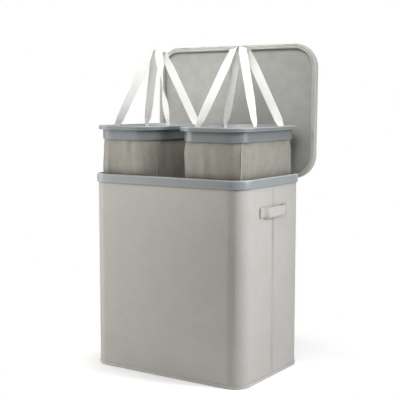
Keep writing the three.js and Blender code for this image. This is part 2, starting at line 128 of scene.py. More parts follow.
# A Mix node takes its factor at 0 and its two colours at 6 and 7, and gives the blend at 2
# Cloths. A wave texture repeats every 0.314 / scale of its coordinates, so its scale follows from the threads
waveLength = 2 * math.pi / 20
# A cloth's deep colour is painted shade, mixed in where another piece lies close by
clothMap = {
    # Plain weave of spun polyester: dull, soft, faintly lit at grazing angles. Its threads lie 0.4 mm apart,
    # and are drawn 1.1 mm apart to show
    "wovenPolyester": {
        "light": "#c6c3bc", "dark": "#b4b0a8", "stain": "#a9a59b", "thread": 1.1 * mm, "relief": 0.16 * mm,
        "slub": 9 * mm, "mottle": 60 * mm, "roughness": 0.86, "sheen": 0.22, "sheenRoughness": 0.5,
        "streaks": 0.4, "cloudiness": 0.15, "paintedShadeReach": 14 * mm, "deep": "#7d786c"},
    # Thin polyester coated on the inside: tighter and a little smoother, olive in its shade. Threads 0.3 mm
    # apart, drawn 0.9 mm apart to show
    "coatedCloth": {
        "light": "#9f9c93", "dark": "#8c887b", "stain": "#827d6e", "thread": 0.9 * mm, "relief": 0.1 * mm,
        "slub": 14 * mm, "mottle": 28 * mm, "roughness": 0.62, "sheen": 0.12, "sheenRoughness": 0.4,
        "streaks": 0.25, "cloudiness": 0.3, "paintedShadeReach": 60 * mm, "deep": "#41352a"},
    # Painted shade: the bag cloth darkened, for a thin tube beside each corner seam where the valley by the
    # piping lies in shade
    "paintedSeamShade": {
        "light": "#7a766b", "dark": "#6b675c", "stain": "#625e53", "thread": 0.9 * mm, "relief": 0.1 * mm,
        "slub": 14 * mm, "mottle": 28 * mm, "roughness": 0.7, "sheen": 0.05, "sheenRoughness": 0.4,
        "streaks": 0.25, "cloudiness": 0.3, "paintedShadeReach": 12 * mm, "deep": "#4b4131"},
    # Brushed nonwoven lining: fibres lie every way, so it is soft and cloudy
    "brushedLining": {
        "light": "#b0b0ab", "dark": "#a0a09b", "stain": "#959590", "thread": 1.6 * mm, "relief": 0.12 * mm,
        "slub": 4 * mm, "mottle": 34 * mm, "roughness": 0.92, "sheen": 0.3, "sheenRoughness": 0.6,
        "streaks": 0.4, "cloudiness": 0.35, "paintedShadeReach": 12 * mm, "deep": "#74736c"},
    # Bias-cut polyester tape folded over the seams: the cover's cloth, packed tighter and a shade lighter
    "seamTape": {
        "light": "#cfcdc6", "dark": "#bfbcb5", "stain": "#b2afa6", "thread": 0.8 * mm, "relief": 0.14 * mm,
        "slub": 5 * mm, "mottle": 30 * mm, "roughness": 0.84, "sheen": 0.2, "sheenRoughness": 0.5,
        "streaks": 0.4, "cloudiness": 0.2, "paintedShadeReach": 3 * mm, "deep": "#918d82"},
}


def clothMaterial(name):
    cloth = clothMap[name]
    material, tree = startMaterial(name)
    coords = addNode(tree, "TexCoord")
    threads = {"Scale": waveLength / cloth["thread"], "Distortion": 0.5, "Detail": 1.0, "Detail Scale": 0.6}
    warp, weft = [addNode(tree, "TexWave", {"bands_direction": way, **threads},
                          {"Vector": coords.outputs["UV"]}) for way in ("X", "Y")]
    weave = addNode(tree, "Math", {"operation": "MULTIPLY"}, {0: warp.outputs["Fac"], 1: weft.outputs["Fac"]})
    along = addNode(tree, "Mapping", {"Scale": (1 / cloth["thread"], 1 / cloth["slub"], 1)},
                    {"Vector": coords.outputs["UV"]})
    slub = addNode(tree, "TexNoise", {"Scale": 0.5, "Detail": 3.0}, {"Vector": along.outputs[0]})
    mottle = addNode(tree, "TexNoise", {"Scale": 1 / cloth["mottle"], "Detail": 5.0, "Roughness": 0.55},
                     {"Vector": coords.outputs["Object"]})
    cloud = addNode(tree, "MapRange", {"From Min": 0.36, "From Max": 0.64}, {"Value": mottle.outputs["Fac"]})
    streak = addNode(tree, "MapRange", {"From Min": 0.3, "From Max": 0.7, "To Max": cloth["streaks"]},
                     {"Value": slub.outputs["Fac"]})
    shade = addNode(tree, "Math", {"operation": "MULTIPLY", 1: cloth["cloudiness"]}, {0: cloud.outputs[0]})
    ground = addNode(tree, "Mix", {"data_type": "RGBA", 6: cloth["light"], 7: cloth["dark"]},
                     {0: streak.outputs[0]})
    clean = addNode(tree, "Mix", {"data_type": "RGBA", 7: cloth["stain"]},
                    {0: shade.outputs[0], 6: ground.outputs[2]})
    # painted shade where the cloth lies close to another piece: its deep colour mixed in as the occlusion
    # grows
    nearby = addNode(tree, "AmbientOcclusion", {"samples": 8, "Distance": cloth["paintedShadeReach"]})
    paintedShade = addNode(tree, "MapRange", {"From Min": 0.45, "From Max": 0.95, "To Min": 0.6, "To Max": 0.0},
                        {"Value": nearby.outputs["AO"]})
    colour = addNode(tree, "Mix", {"data_type": "RGBA", 7: cloth["deep"]},
                     {0: paintedShade.outputs[0], 6: clean.outputs[2]})
    height = addNode(tree, "Math", {"operation": "MULTIPLY_ADD", 1: 0.5},
                     {0: slub.outputs["Fac"], 2: weave.outputs[0]})
    rough = addNode(tree, "MapRange", {
        "To Min": cloth["roughness"] - 0.05, "To Max": cloth["roughness"] + 0.07},
        {"Value": slub.outputs["Fac"]})
    finishMaterial(tree, colour.outputs[2], rough.outputs[0], (height.outputs[0], 0.7, cloth["relief"]), {
        "Sheen Weight": cloth["sheen"], "Sheen Roughness": cloth["sheenRoughness"],
        "Specular IOR Level": 0.3})
    return material


# Polypropylene, injection moulded against a lightly spark-eroded tool: satin, its rounded edges
# lightened as wear and painted highlight. The grain is 0.15 mm, drawn 0.6 mm to show
# A plastic's deep colour is painted shade, mixed in under lips and beside steps
plastic = {
    "satinPolypropylene": {"body": "#939899", "tint": "#888d8e", "edgeWearAndHighlight": "#ccd1d2", "deep": "#4c5152"},
    "darkPolypropylene": {"body": "#767b7c", "tint": "#6c7172", "edgeWearAndHighlight": "#c4cacb", "deep": "#434849"},
    "paintedShadeReach": 30 * mm, "grain": 0.6 * mm, "cloud": 70 * mm, "relief": 0.03 * mm, "roughness": 0.36,
    "ior": 1.49}


def mouldedPolypropylene(name):
    shades = plastic[name]
    material, tree = startMaterial(name)
    coords = addNode(tree, "TexCoord").outputs["Object"]
    surface = addNode(tree, "NewGeometry")
    cloud = addNode(tree, "TexNoise", {"Scale": 1 / plastic["cloud"], "Detail": 3.0}, {"Vector": coords})
    grain = addNode(tree, "TexNoise", {"Scale": 1 / plastic["grain"], "Detail": 2.0}, {"Vector": coords})
    edgeWearAndHighlight = addNode(tree, "MapRange", {"From Min": 0.505, "From Max": 0.525},
                     {"Value": surface.outputs["Pointiness"]})
    ground = addNode(tree, "Mix", {"data_type": "RGBA", 6: shades["body"], 7: shades["tint"]},
                     {0: cloud.outputs["Fac"]})
    # wear and painted highlight: rounded edges lightened, most where they face up toward the light from above
    facing = addNode(tree, "SeparateXYZ", None, {0: surface.outputs["Normal"]})
    facingUpLight = addNode(tree, "MapRange", {"From Min": -0.2, "From Max": 0.4, "To Min": 0.12},
                      {"Value": facing.outputs["Z"]})
    wornAndLit = addNode(tree, "Math", {"operation": "MULTIPLY"}, {0: edgeWearAndHighlight.outputs[0], 1: facingUpLight.outputs[0]})
    wornAndLitColour = addNode(tree, "Mix", {"data_type": "RGBA", 7: shades["edgeWearAndHighlight"]},
                   {0: wornAndLit.outputs[0], 6: ground.outputs[2]})
    # painted shade under a lip and beside a step: the deep colour mixed in as the occlusion grows
    nearby = addNode(tree, "AmbientOcclusion", {"samples": 8, "Distance": plastic["paintedShadeReach"]})
    paintedShade = addNode(tree, "MapRange", {"From Min": 0.5, "From Max": 0.95, "To Min": 0.52, "To Max": 0.0},
                        {"Value": nearby.outputs["AO"]})
    colour = addNode(tree, "Mix", {"data_type": "RGBA", 7: shades["deep"]},
                     {0: paintedShade.outputs[0], 6: wornAndLitColour.outputs[2]})
    rough = addNode(tree, "MapRange", {
        "To Min": plastic["roughness"] - 0.06, "To Max": plastic["roughness"] + 0.08},
        {"Value": cloud.outputs["Fac"]})
    finishMaterial(tree, colour.outputs[2], rough.outputs[0], (grain.outputs["Fac"], 0.5, plastic["relief"]),
                   {"IOR": plastic["ior"]})
    return material


# Polypropylene webbing: two-up, two-down weave in cross ribs, white and a little translucent at its edges.
# The ribs are 1 mm apart, drawn 1.6 mm apart to show
webbing = {"light": "#f1f0ec", "dark": "#dfddd7", "rib": 1.6 * mm, "soil": 30 * mm, "relief": 0.22 * mm,
           "roughness": 0.7}


def wovenWebbing():
    material, tree = startMaterial("wovenWebbing")
    coords = addNode(tree, "TexCoord")
    ribs, cords = [addNode(tree, "TexWave", {
        "bands_direction": way, "Scale": waveLength / spacing, "Distortion": wander},
        {"Vector": coords.outputs["UV"]})
        for way, spacing, wander in (("X", webbing["rib"], 0.4), ("Y", webbing["rib"] * 2, 0.3))]
    weave = addNode(tree, "Math", {"operation": "MULTIPLY"},
                    {0: ribs.outputs["Fac"], 1: cords.outputs["Fac"]})
    soil = addNode(tree, "TexNoise", {"Scale": 1 / webbing["soil"], "Detail": 4.0},
                   {"Vector": coords.outputs["Object"]})
    shade = addNode(tree, "Math", {"operation": "MULTIPLY_ADD", 1: -0.45, 2: 0.45}, {0: weave.outputs[0]})
    dirt = addNode(tree, "MapRange", {"From Min": 0.45, "From Max": 0.75, "To Max": 0.3},
                   {"Value": soil.outputs["Fac"]})
    ground = addNode(tree, "Mix", {"data_type": "RGBA", 6: webbing["light"], 7: webbing["dark"]},
                     {0: shade.outputs[0]})
    colour = addNode(tree, "Mix", {"data_type": "RGBA", 7: webbing["dark"]},
                     {0: dirt.outputs[0], 6: ground.outputs[2]})
    rough = addNode(tree, "MapRange", {
        "To Min": webbing["roughness"] - 0.05, "To Max": webbing["roughness"] + 0.1},
        {"Value": weave.outputs[0]})
    finishMaterial(tree, colour.outputs[2], rough.outputs[0], (weave.outputs[0], 0.8, webbing["relief"]), {
        "Sheen Weight": 0.15, "Sheen Roughness": 0.4, "Specular IOR Level": 0.35})
    return material


# Twisted polyester thread: two plies, so its light runs in short slants
thread = {
    "greyThread": {"light": "#c9c6bf", "shade": "#a9a69e"},
    "whiteThread": {"light": "#f2f1ee", "shade": "#d2d0ca"},
    "ply": 0.9 * mm, "relief": 0.1 * mm}


def spunThread(name):
    material, tree = startMaterial(name)
    coords = addNode(tree, "TexCoord")
    plies = addNode(tree, "TexWave", {
        "bands_direction": "DIAGONAL", "Scale": waveLength / thread["ply"]},
        {"Vector": coords.outputs["Object"]})
    colour = addNode(tree, "Mix", {"data_type": "RGBA", 6: thread[name]["shade"], 7: thread[name]["light"]},
                     {0: plies.outputs["Fac"]})
    rough = addNode(tree, "MapRange", {"To Min": 0.5, "To Max": 0.65}, {"Value": plies.outputs["Fac"]})
    finishMaterial(tree, colour.outputs[2], rough.outputs[0], (plies.outputs["Fac"], 0.6, thread["relief"]),
                   {"Sheen Weight": 0.2})
    return material


# Greyboard, pressed from pulp: mid brown-grey with darker fibres 2 to 4 mm long
board = {"dark": "#81776a", "light": "#978c7c", "fleck": "#6a6157", "fibre": 3 * mm, "fleckSize": 4 * mm,
         "relief": 0.08 * mm}


def pressedBoard():
    material, tree = startMaterial("pressedBoard")
    coords = addNode(tree, "TexCoord").outputs["Object"]
    fibres = addNode(tree, "TexNoise", {"Scale": 1 / board["fibre"], "Detail": 6.0, "Roughness": 0.7},
                     {"Vector": coords})
    flecks = addNode(tree, "TexVoronoi", {"Scale": 1 / board["fleckSize"]}, {"Vector": coords})
    ground = addNode(tree, "Mix", {"data_type": "RGBA", 6: board["dark"], 7: board["light"]},
                     {0: fibres.outputs["Fac"]})
    fleck = addNode(tree, "MapRange", {"From Max": 0.2, "To Min": 0.5, "To Max": 0.0},
                    {"Value": flecks.outputs["Distance"]})
    colour = addNode(tree, "Mix", {"data_type": "RGBA", 7: board["fleck"]},
                     {0: fleck.outputs[0], 6: ground.outputs[2]})
    rough = addNode(tree, "MapRange", {"To Min": 0.86, "To Max": 0.98}, {"Value": fibres.outputs["Fac"]})
    finishMaterial(tree, colour.outputs[2], rough.outputs[0], (fibres.outputs["Fac"], 0.6, board["relief"]))
    return material


# Zinc-plated steel: bright bluish grey, lightly brushed along its turning marks, dulled in patches
zinc = {"bright": "#c4c8cc", "dull": "#a8adb1", "mark": 0.8 * mm, "patch": 5 * mm, "relief": 0.03 * mm}


def zincPlatedSteel():
    material, tree = startMaterial("zincPlatedSteel")
    coords = addNode(tree, "TexCoord").outputs["Object"]
    marks, patches = [addNode(tree, "TexNoise", {"Scale": 1 / zinc[size], "Detail": 3.0}, {"Vector": coords})
                      for size in ("mark", "patch")]
    colour = addNode(tree, "Mix", {"data_type": "RGBA", 6: zinc["bright"], 7: zinc["dull"]},
                     {0: patches.outputs["Fac"]})
    rough = addNode(tree, "MapRange", {"To Min": 0.24, "To Max": 0.42}, {"Value": patches.outputs["Fac"]})
    finishMaterial(tree, colour.outputs[2], rough.outputs[0], (marks.outputs["Fac"], 0.4, zinc["relief"]),
                   {"Metallic": 1.0})
    return material


wovenPolyester, coatedCloth, paintedSeamShade, brushedLining, seamTape = [clothMaterial(name) for name in clothMap]
mouldedPlastic = mouldedPolypropylene("satinPolypropylene")
ringPlastic = mouldedPolypropylene("darkPolypropylene")
whiteWebbing = wovenWebbing()
greyThread = spunThread("greyThread")
whiteThread = spunThread("whiteThread")
greyboard = pressedBoard()
platedSteel = zincPlatedSteel()
print("materials made")


# Mesh helpers
def smoothstep(share):
    share = np.clip(share, 0, 1)
    return share * share * (3 - 2 * share)


rippleTerms = 14


def ripple(points, wavelength, seed, stretch=(1, 1, 1)):
    # Smooth seeded unevenness, mostly from -1 to 1. A stretch below 1 draws it out along that axis
    draws = np.random.default_rng(seed)
    total = np.zeros(points.shape[:-1])
    for _ in range(rippleTerms):
        direction = draws.normal(size=3)
        direction /= np.linalg.norm(direction)
        turns = 2 * math.pi / wavelength * draws.uniform(0.6, 1.5)
        total += np.sin((points * np.array(stretch)) @ direction * turns + draws.uniform(0, 2 * math.pi))
    return total / math.sqrt(rippleTerms)


def unit(vectors):
    return vectors / np.linalg.norm(vectors, axis=-1)[..., None]


def closed(points):
    return np.concatenate([points, points[:1]])


def lengthsAlong(points):
    # How far along their line each of the points lies
    return np.concatenate([[0], np.cumsum(np.linalg.norm(np.diff(points, axis=0), axis=1))])


def loopNormals(rows):
    # Level outward normals along closed rows that run counter-clockwise
    ahead = np.roll(rows, -1, axis=-2) - np.roll(rows, 1, axis=-2)
    return unit(np.stack([ahead[..., 1], -ahead[..., 0], 0 * ahead[..., 0]], axis=-1))


def roundedLoop(halfWidth, halfDepth, radius, counts):
    # Points of a round-cornered rectangle and their outward normals, counter-clockwise from the front right.
    # The counts are the steps of a corner, of a short side and of a long side
    cornerCount, endCount, sideCount = counts
    points, normals = [], []
    signs = list(corners.values())
    for quarter, (sideX, sideY) in enumerate(signs):
        centre = np.array([sideX * (halfWidth - radius), sideY * (halfDepth - radius)])
        for step in range(cornerCount + 1):
            angle = (quarter - 1 + step / cornerCount) * math.pi / 2
            normal = np.array([math.cos(angle), math.sin(angle)])
            points.append(centre + radius * normal)
            normals.append(normal)
        nextX, nextY = signs[(quarter + 1) % 4]
        follow = np.array([nextX * (halfWidth - radius), nextY * (halfDepth - radius)]) + radius * normal
        straightCount = endCount if quarter % 2 == 0 else sideCount
        start = points[-1]
        for step in range(1, straightCount):
            points.append(start + (follow - start) * step / straightCount)
            normals.append(normal)
    return np.array(points), np.array(normals)


def level(points, z):
    # Lifts flat points, a row or a grid of them, to one height or to a height for each
    return np.concatenate([points, np.broadcast_to(z, points.shape[:-1])[..., None]], axis=-1)


def newMesh(name, vertices, faces, cornerPlaces, material, sharpAngle=38):
    mesh = bpy.data.meshes.new(name)
    mesh.from_pydata([tuple(v) for v in vertices], [], faces)
    layer = mesh.uv_layers.new(name="UVMap")
    layer.data.foreach_set("uv", np.asarray(cornerPlaces, np.float32).ravel())
    mesh.shade_smooth()
    mesh.set_sharp_from_angle(angle=math.radians(sharpAngle))
    mesh.materials.append(material)
    piece = bpy.data.objects.new(name, mesh)
    bpy.context.scene.collection.objects.link(piece)
    return piece


def loft(name, rows, material, rowsClosed=False, capEnds=False, sharpAngle=38):
    # One skin over rows of equal point counts, wound counter-clockwise and rising on the outside
    rows = np.asarray(rows, float)
    rowCount, count = rows.shape[:2]
    across, climb = lengthsAlong(closed(rows[0])), lengthsAlong(closed(rows[:, count // 3]))
    faces, places = [], []
    for row in range(rowCount if rowsClosed else rowCount - 1):
        after = (row + 1) % rowCount
        for step in range(count):
            beside = (step + 1) % count
            faces.append((row * count + step, row * count + beside,
                          after * count + beside, after * count + step))
            places += [(across[step], climb[row]), (across[step + 1], climb[row]),
                       (across[step + 1], climb[row + 1]), (across[step], climb[row + 1])]
    if capEnds:
        for row, order in ((0, -1), (rowCount - 1, 1)):
            ring = list(range(row * count, (row + 1) * count))[::order]
            faces.append(tuple(ring))
            places += [tuple(rows.reshape(-1, 3)[corner][:2]) for corner in ring]
    return newMesh(name, rows.reshape(-1, 3), faces, places, material, sharpAngle)


def bandRows(section, halfWidth, halfDepth, radius, counts, centreX=0.0):
    # Carries a closed section of (offset, z), counter-clockwise with the outside on the right, round a loop
    rows = []
    for offset, z in section:
        points, _ = roundedLoop(halfWidth + offset, halfDepth + offset, radius + offset, counts)
        rows.append(level(points + [centreX, 0], z))
    return rows


def arc(centreOffset, centreZ, radius, fromAngle, toAngle, steps):
    angles = np.radians(np.linspace(fromAngle, toAngle, steps + 1))
    return [(centreOffset + radius * math.cos(a), centreZ + radius * math.sin(a)) for a in angles]


def sheetRows(halfWidth, halfDepth, radius, lengthSteps, widthSteps):
    # A grid that fills a round-cornered rectangle, as rows along X
    rows = []
    for row in range(lengthSteps + 1):
        # rows crowd together where the corners turn
        share = math.sin((row / lengthSteps - 0.5) * math.pi)
        y = halfDepth * (0.45 * share + 0.55 * (2 * row / lengthSteps - 1))
        beyond = max(abs(y) - (halfDepth - radius), 0)
        reach = halfWidth - radius + math.sqrt(max(radius * radius - beyond * beyond, 0))
        x = np.linspace(-reach, reach, widthSteps + 1)
        rows.append(np.column_stack([x, np.full(len(x), y)]))
    return np.array(rows)


def sheetPiece(name, grid, bottom, top, material):
    # A closed thin sheet between two heights, or fields of heights, over one grid
    lengthCount, widthCount = grid.shape[:2]
    total = lengthCount * widthCount
    faces = []
    for row in range(lengthCount - 1):
        for step in range(widthCount - 1):
            a = row * widthCount + step
            quad = (a, a + 1, a + widthCount + 1, a + widthCount)
            faces.append(quad)
            faces.append(tuple(total + corner for corner in reversed(quad)))
    border = list(range(widthCount))
    border += [row * widthCount + widthCount - 1 for row in range(1, lengthCount)]
    border += [(lengthCount - 1) * widthCount + step for step in range(widthCount - 2, -1, -1)]
    border += [row * widthCount for row in range(lengthCount - 2, 0, -1)]
    for a, b in zip(border, border[1:] + border[:1]):
        faces.append((a, a + total, b + total, b))
    vertices = np.concatenate([level(grid, top).reshape(-1, 3), level(grid, bottom).reshape(-1, 3)])
    places = [tuple(vertices[corner][:2]) for face in faces for corner in face]
    return newMesh(name, vertices, faces, places, material)


def fromBorder(grid, halfWide, halfDeep, distance):
    # 0 at the border of a grid, rising to 1 where it lies this distance in
    return smoothstep(np.minimum(halfWide - np.abs(grid[..., 0]), halfDeep - np.abs(grid[..., 1])) / distance)


def sweep(name, path, across, section, material, sharpAngle=50):
    # Carries a section of (along the width, along the face) down a path. Across gives each step's width
    # direction, and comes back squared to the path, with the direction that each step faces
    path, across = np.asarray(path, float), np.asarray(across, float)
    tangents = unit(np.gradient(path, axis=0))
    across = unit(across - tangents * np.sum(across * tangents, axis=1)[:, None])
    outward = np.cross(tangents, across)
    rows = [centre + np.outer([u for u, _ in section], wide) + np.outer([v for _, v in section], out)
            for centre, wide, out in zip(path, across, outward)]
    return loft(name, rows, material, capEnds=True, sharpAngle=sharpAngle), across, outward


def ribbonSection(width, thickness, crown, steps=8):
    # Flat strip with rounded edges whose faces rise a little in the middle, counter-clockwise
    half, edge = width / 2 - thickness / 2, thickness / 2
    lower = [(u, -edge - crown * (1 - (u / half) ** 2)) for u in np.linspace(-half, half, steps + 1)]
    right = [(half + edge * math.cos(a), edge * math.sin(a)) for a in np.radians((-45, 0, 45))]
    return lower + right + [(-u, -v) for u, v in lower] + [(-u, -v) for u, v in right]


def tube(name, path, radius, material, sideCount=8):
    # its width may point any way that crosses the path
    path = np.asarray(path, float)
    lean = np.tile(np.cross(path[-1] - path[0], (0.3, 0.5, 0.9)), (len(path), 1))
    return sweep(name, path, lean, arc(0, 0, radius, 0, 360, sideCount)[:-1], material)[0]


stitch = {"length": 3.2 * mm, "gap": 1.6 * mm, "radius": 0.42 * mm, "sink": 0.12 * mm, "sides": 6,
          "loopCounts": (24, 60, 90),
          # from end to end, how thick a stitch is and how high it lies, as shares of its radius
          "girths": np.array([0.35, 0.9, 1.0, 0.9, 0.35]), "lifts": np.array([-0.5, 0.25, 0.45, 0.25, -0.5])}


def stitchRuns(name, runs, material):
    # Rows of short raised stitches along lines that lie on a surface; each run is (points, outward normals)
    vertices, faces = [], []
    girth = stitch["radius"] * stitch["girths"]
    lift = stitch["radius"] * stitch["lifts"] - stitch["sink"]
    ringCount, sideCount = len(girth), stitch["sides"]
    for points, normals in runs:
        points, normals = np.asarray(points, float), np.asarray(normals, float)
        distance = lengthsAlong(points)
        pitch = stitch["length"] + stitch["gap"]
        for start in np.arange(stitch["gap"], distance[-1] - stitch["length"], pitch):
            at = np.linspace(start, start + stitch["length"], ringCount)
            centre, normal = [np.column_stack([np.interp(at, distance, field[:, axis]) for axis in range(3)])
                              for field in (points, normals)]
            normal = unit(normal)
            side = np.cross(unit(centre[-1] - centre[0]), normal)
            base = len(vertices)
            for ring in range(ringCount):
                for angle in 2 * math.pi * np.arange(sideCount) / sideCount:
                    vertices.append(centre[ring] + normal[ring] * (lift[ring] + girth[ring] * math.sin(angle))
                                    + side[ring] * girth[ring] * math.cos(angle))
            for ring in range(ringCount - 1):
                for step in range(sideCount):
                    a = base + ring * sideCount + step
                    b = base + ring * sideCount + (step + 1) % sideCount
                    faces.append((a, a + sideCount, b + sideCount, b))
            last = base + (ringCount - 1) * sideCount
            faces += [tuple(range(base, base + sideCount)), tuple(reversed(range(last, last + sideCount)))]
    places = [tuple(vertices[corner][:2]) for face in faces for corner in face]
    return newMesh(name, vertices, faces, places, material)


def straightRun(start, end, normal, steps=12):
    points = np.linspace(start, end, steps + 1)
    return points, np.tile(normal, (len(points), 1))


def crossedBox(x, startY, endY, low, high, facing):
    # The box of stitches with a cross in it that holds a sewn end to an upright wall
    spots = [(x, startY, low), (x, endY, low), (x, endY, high), (x, startY, high)]
    return [straightRun(spots[a], spots[b], (facing, 0, 0), 4)
            for a, b in ((0, 1), (1, 2), (2, 3), (3, 0), (0, 2), (1, 3))]


def stitchLoop(name, halfWide, halfDeep, radius, z, facing=None):
    # A row of grey stitches all the way round, facing outward unless it is told where
    points, normals = [closed(field) for field in roundedLoop(
        halfWide, halfDeep, radius, stitch["loopCounts"])]
    normals = np.tile(facing, (len(points), 1)) if facing else level(normals, 0)
    return stitchRuns(name, [(level(points, z), normals)], greyThread)


def place(piece, body, slotName, *replaced):
    if replaced:
        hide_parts(*replaced)
    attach(piece, body)
    return piece


# Box: cover, hem, seams, handles, base
coverLow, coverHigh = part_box("outer_cover")
rimLow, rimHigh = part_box("body_rim")
hemLow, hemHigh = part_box("bottom_binding")
box = {
    "cornerRadius": 50 * mm,
    "coverThickness": 1.2 * mm,
    "coverSlack": 0.35 * mm,
    "rowSpacing": 8 * mm,
    "loopCounts": (24, 36, 60),
    "trimGap": 0.3 * mm,  # between the cover and what lies on it
    "hemStitchDrop": 2.6 * mm,
    "baseDimple": 0.25 * mm,
    "seamSteps": 60,
    "weltGap": 0.1 * mm,
    "weltWidth": 2.2 * mm,
    "weltRise": 0.16 * mm,
    "weltLap": 0.1 * mm,  # how much prouder one half of a side seam stands
    "seamStitch": 5.6 * mm,  # from a side seam to the stitches on each side of it
    "cornerSeamRadius": 0.5 * mm,
    "cornerSeamSink": 0.1 * mm,
    "cornerSeamTurn": 60,
    "liningThickness": 0.8 * mm,
    "liningSlack": 0.2 * mm,
    "floorSoftness": 0.5 * mm,
}
rim = {"inner": -7 * mm, "innerLeg": 22 * mm, "legThickness": 1.6 * mm, "web": 3 * mm, "edge": 2.6 * mm,
       "crown": 0.5 * mm, "foot": 1.2 * mm, "innerEdge": 1.4 * mm}
halfWidth, halfDepth = coverHigh.x, coverHigh.y


def boxBand(name, section, material, counts=box["loopCounts"]):
    rows = bandRows(section, halfWidth, halfDepth, box["cornerRadius"], counts)
    return loft(name, rows, material, rowsClosed=True)


def coverWrap():
    points, normals = roundedLoop(halfWidth, halfDepth, box["cornerRadius"], box["loopCounts"])
    rowCount = int((coverHigh.z - coverLow.z) / box["rowSpacing"])
    rows = []
    for z in np.linspace(coverLow.z, coverHigh.z, rowCount + 1):
        row = level(points, z)
        slack = box["coverSlack"] * (ripple(row, 150 * mm, 3, (1, 1, 0.5)) * 0.7 - 0.6)
        slack += 0.12 * box["coverSlack"] * ripple(row, 26 * mm, 4, (1, 1, 0.25))
        # hem and rim hold the cloth flat
        fade = smoothstep((z - hemHigh.z) / (20 * mm)) * smoothstep((rimLow.z - z) / (12 * mm))
        row[:, :2] += normals * (slack * fade)[:, None]
        rows.append(row)
    rows += bandRows([(-box["coverThickness"], z) for z in (coverHigh.z, coverLow.z)], halfWidth, halfDepth,
                     box["cornerRadius"], box["loopCounts"])
    piece = loft("coverWrap", rows, wovenPolyester, rowsClosed=True)
    place(piece, "box", "cover_fabric", "outer_cover")


def hemBand():
    bottom, top, rise, inside = hemLow.z, hemHigh.z, hemHigh.x - halfWidth, box["trimGap"]
    edge = (rise - inside) / 2
    section = [(inside, bottom), (rise - edge, bottom), *arc(rise - edge, bottom + edge, edge, -60, 0, 3),
               (rise + 0.1 * mm, (bottom + top) / 2), *arc(rise - edge, top - edge, edge, 0, 80, 3),
               (inside, top)]
    place(boxBand("hemBand", section, seamTape), "box", "cover_fabric", "bottom_binding")
    place(stitchLoop("hemStitches", halfWidth + rise, halfDepth + rise, box["cornerRadius"] + rise,
                     top - box["hemStitchDrop"]), "box", "cover_fabric")


def baseCloth():
    low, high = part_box("base_cover")
    grid = sheetRows(halfWidth, halfDepth, box["cornerRadius"], 60, 60)
    dimple = box["baseDimple"] * (1 + ripple(level(grid, 0), 60 * mm, 12)).clip(0, 2) / 2
    bottom = low.z + dimple * fromBorder(grid, halfWidth, halfDepth, 12 * mm)
    piece = sheetPiece("baseCloth", grid, bottom, high.z, wovenPolyester)
    place(piece, "box", "cover_fabric", "base_cover")


def rimBand():
    # the top lip, its rounded outer face and the leg that goes down inside the box
    outer, inner, top, bottom = rimHigh.x - halfWidth, rim["inner"], rimHigh.z, rimLow.z
    edge, crown, foot, lip = rim["edge"], rim["crown"], rim["foot"], rim["innerEdge"]
    legInside, legBottom = inner + rim["legThickness"], top - rim["innerLeg"]
    face = [(outer - crown * (2 * share - 1) ** 2, bottom + foot + (top - edge - bottom - foot) * share)
            for share in np.linspace(0, 1, 7)]
    section = [(box["trimGap"], bottom), *arc(outer - crown - foot, bottom + foot, foot, -90, -15, 4),
               *face[1:-1], *arc(outer - crown - edge, top - edge, edge, 0, 90, 7),
               *arc(inner + lip, top - lip, lip, 90, 180, 5), (inner, legBottom), (legInside, legBottom),
               (legInside, top - rim["web"]), (box["trimGap"], top - rim["web"])]
    place(boxBand("rimBand", section, mouldedPlastic), "box", "rim_plastic", "body_rim")


def boxSeams():
    half, rise, lap, stitches = box["weltWidth"] / 2, box["weltRise"], box["weltLap"], []
    swell = [(u, rise * (1 - u * u) ** 0.6) for u in (1, 0.85, 0.6, 0.3, 0.1)]
    for name, side in sides.items():
        low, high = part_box(f"side_seam_{name}")
        wall = side * (halfWidth + box["weltGap"])
        path = [(wall, 0, z) for z in np.linspace(low.z, high.z, box["seamSteps"])]
        # two laps with a groove between them, one a little prouder than the other
        section = [(-half * u, v + lap * (1 - u)) for u, v in swell] + [(0, rise * 0.45)]
        section += [(half * u, v) for u, v in swell[::-1]]
        piece, *_ = sweep(f"sideWelt_{name}", path, [(0, 1, 0)] * len(path),
                          [(side * u, -v) for u, v in section], wovenPolyester)
        place(piece, "box", "cover_fabric", f"side_seam_{name}")
        for beside in (-box["seamStitch"], box["seamStitch"]):
            stitches.append(straightRun((side * halfWidth, beside, low.z), (side * halfWidth, beside, high.z),
                                        (side, 0, 0), 40))
    place(stitchRuns("sideStitches", stitches, greyThread), "box", "cover_fabric")
    turn, reach = math.radians(box["cornerSeamTurn"]), box["cornerRadius"] - box["cornerSeamSink"]
    for corner, (sideX, sideY) in corners.items():
        x = sideX * (halfWidth - box["cornerRadius"] + reach * math.cos(turn))
        y = sideY * (halfDepth - box["cornerRadius"] + reach * math.sin(turn))
        path = [(x, y, z) for z in np.linspace(hemHigh.z, rimLow.z, box["seamSteps"])]
        place(tube(f"cornerSeam_{corner}", path, box["cornerSeamRadius"], wovenPolyester),
              "box", "cover_fabric")


handle = {
    "thickness": 2.6 * mm, "height": 30 * mm, "endLength": 20 * mm, "puff": 0.5 * mm, "steps": 48,
    "sag": 0.8 * mm, "lean": 0.12, "bowShare": 0.52, "turn": 18 * mm,
    # how far stitches lie from the long edges, and crossed boxes from those, the free part and the ends
    "edgeStitch": 3.4 * mm, "boxEdge": 5 * mm, "boxStart": 3.5 * mm, "boxEnd": 3 * mm,
}


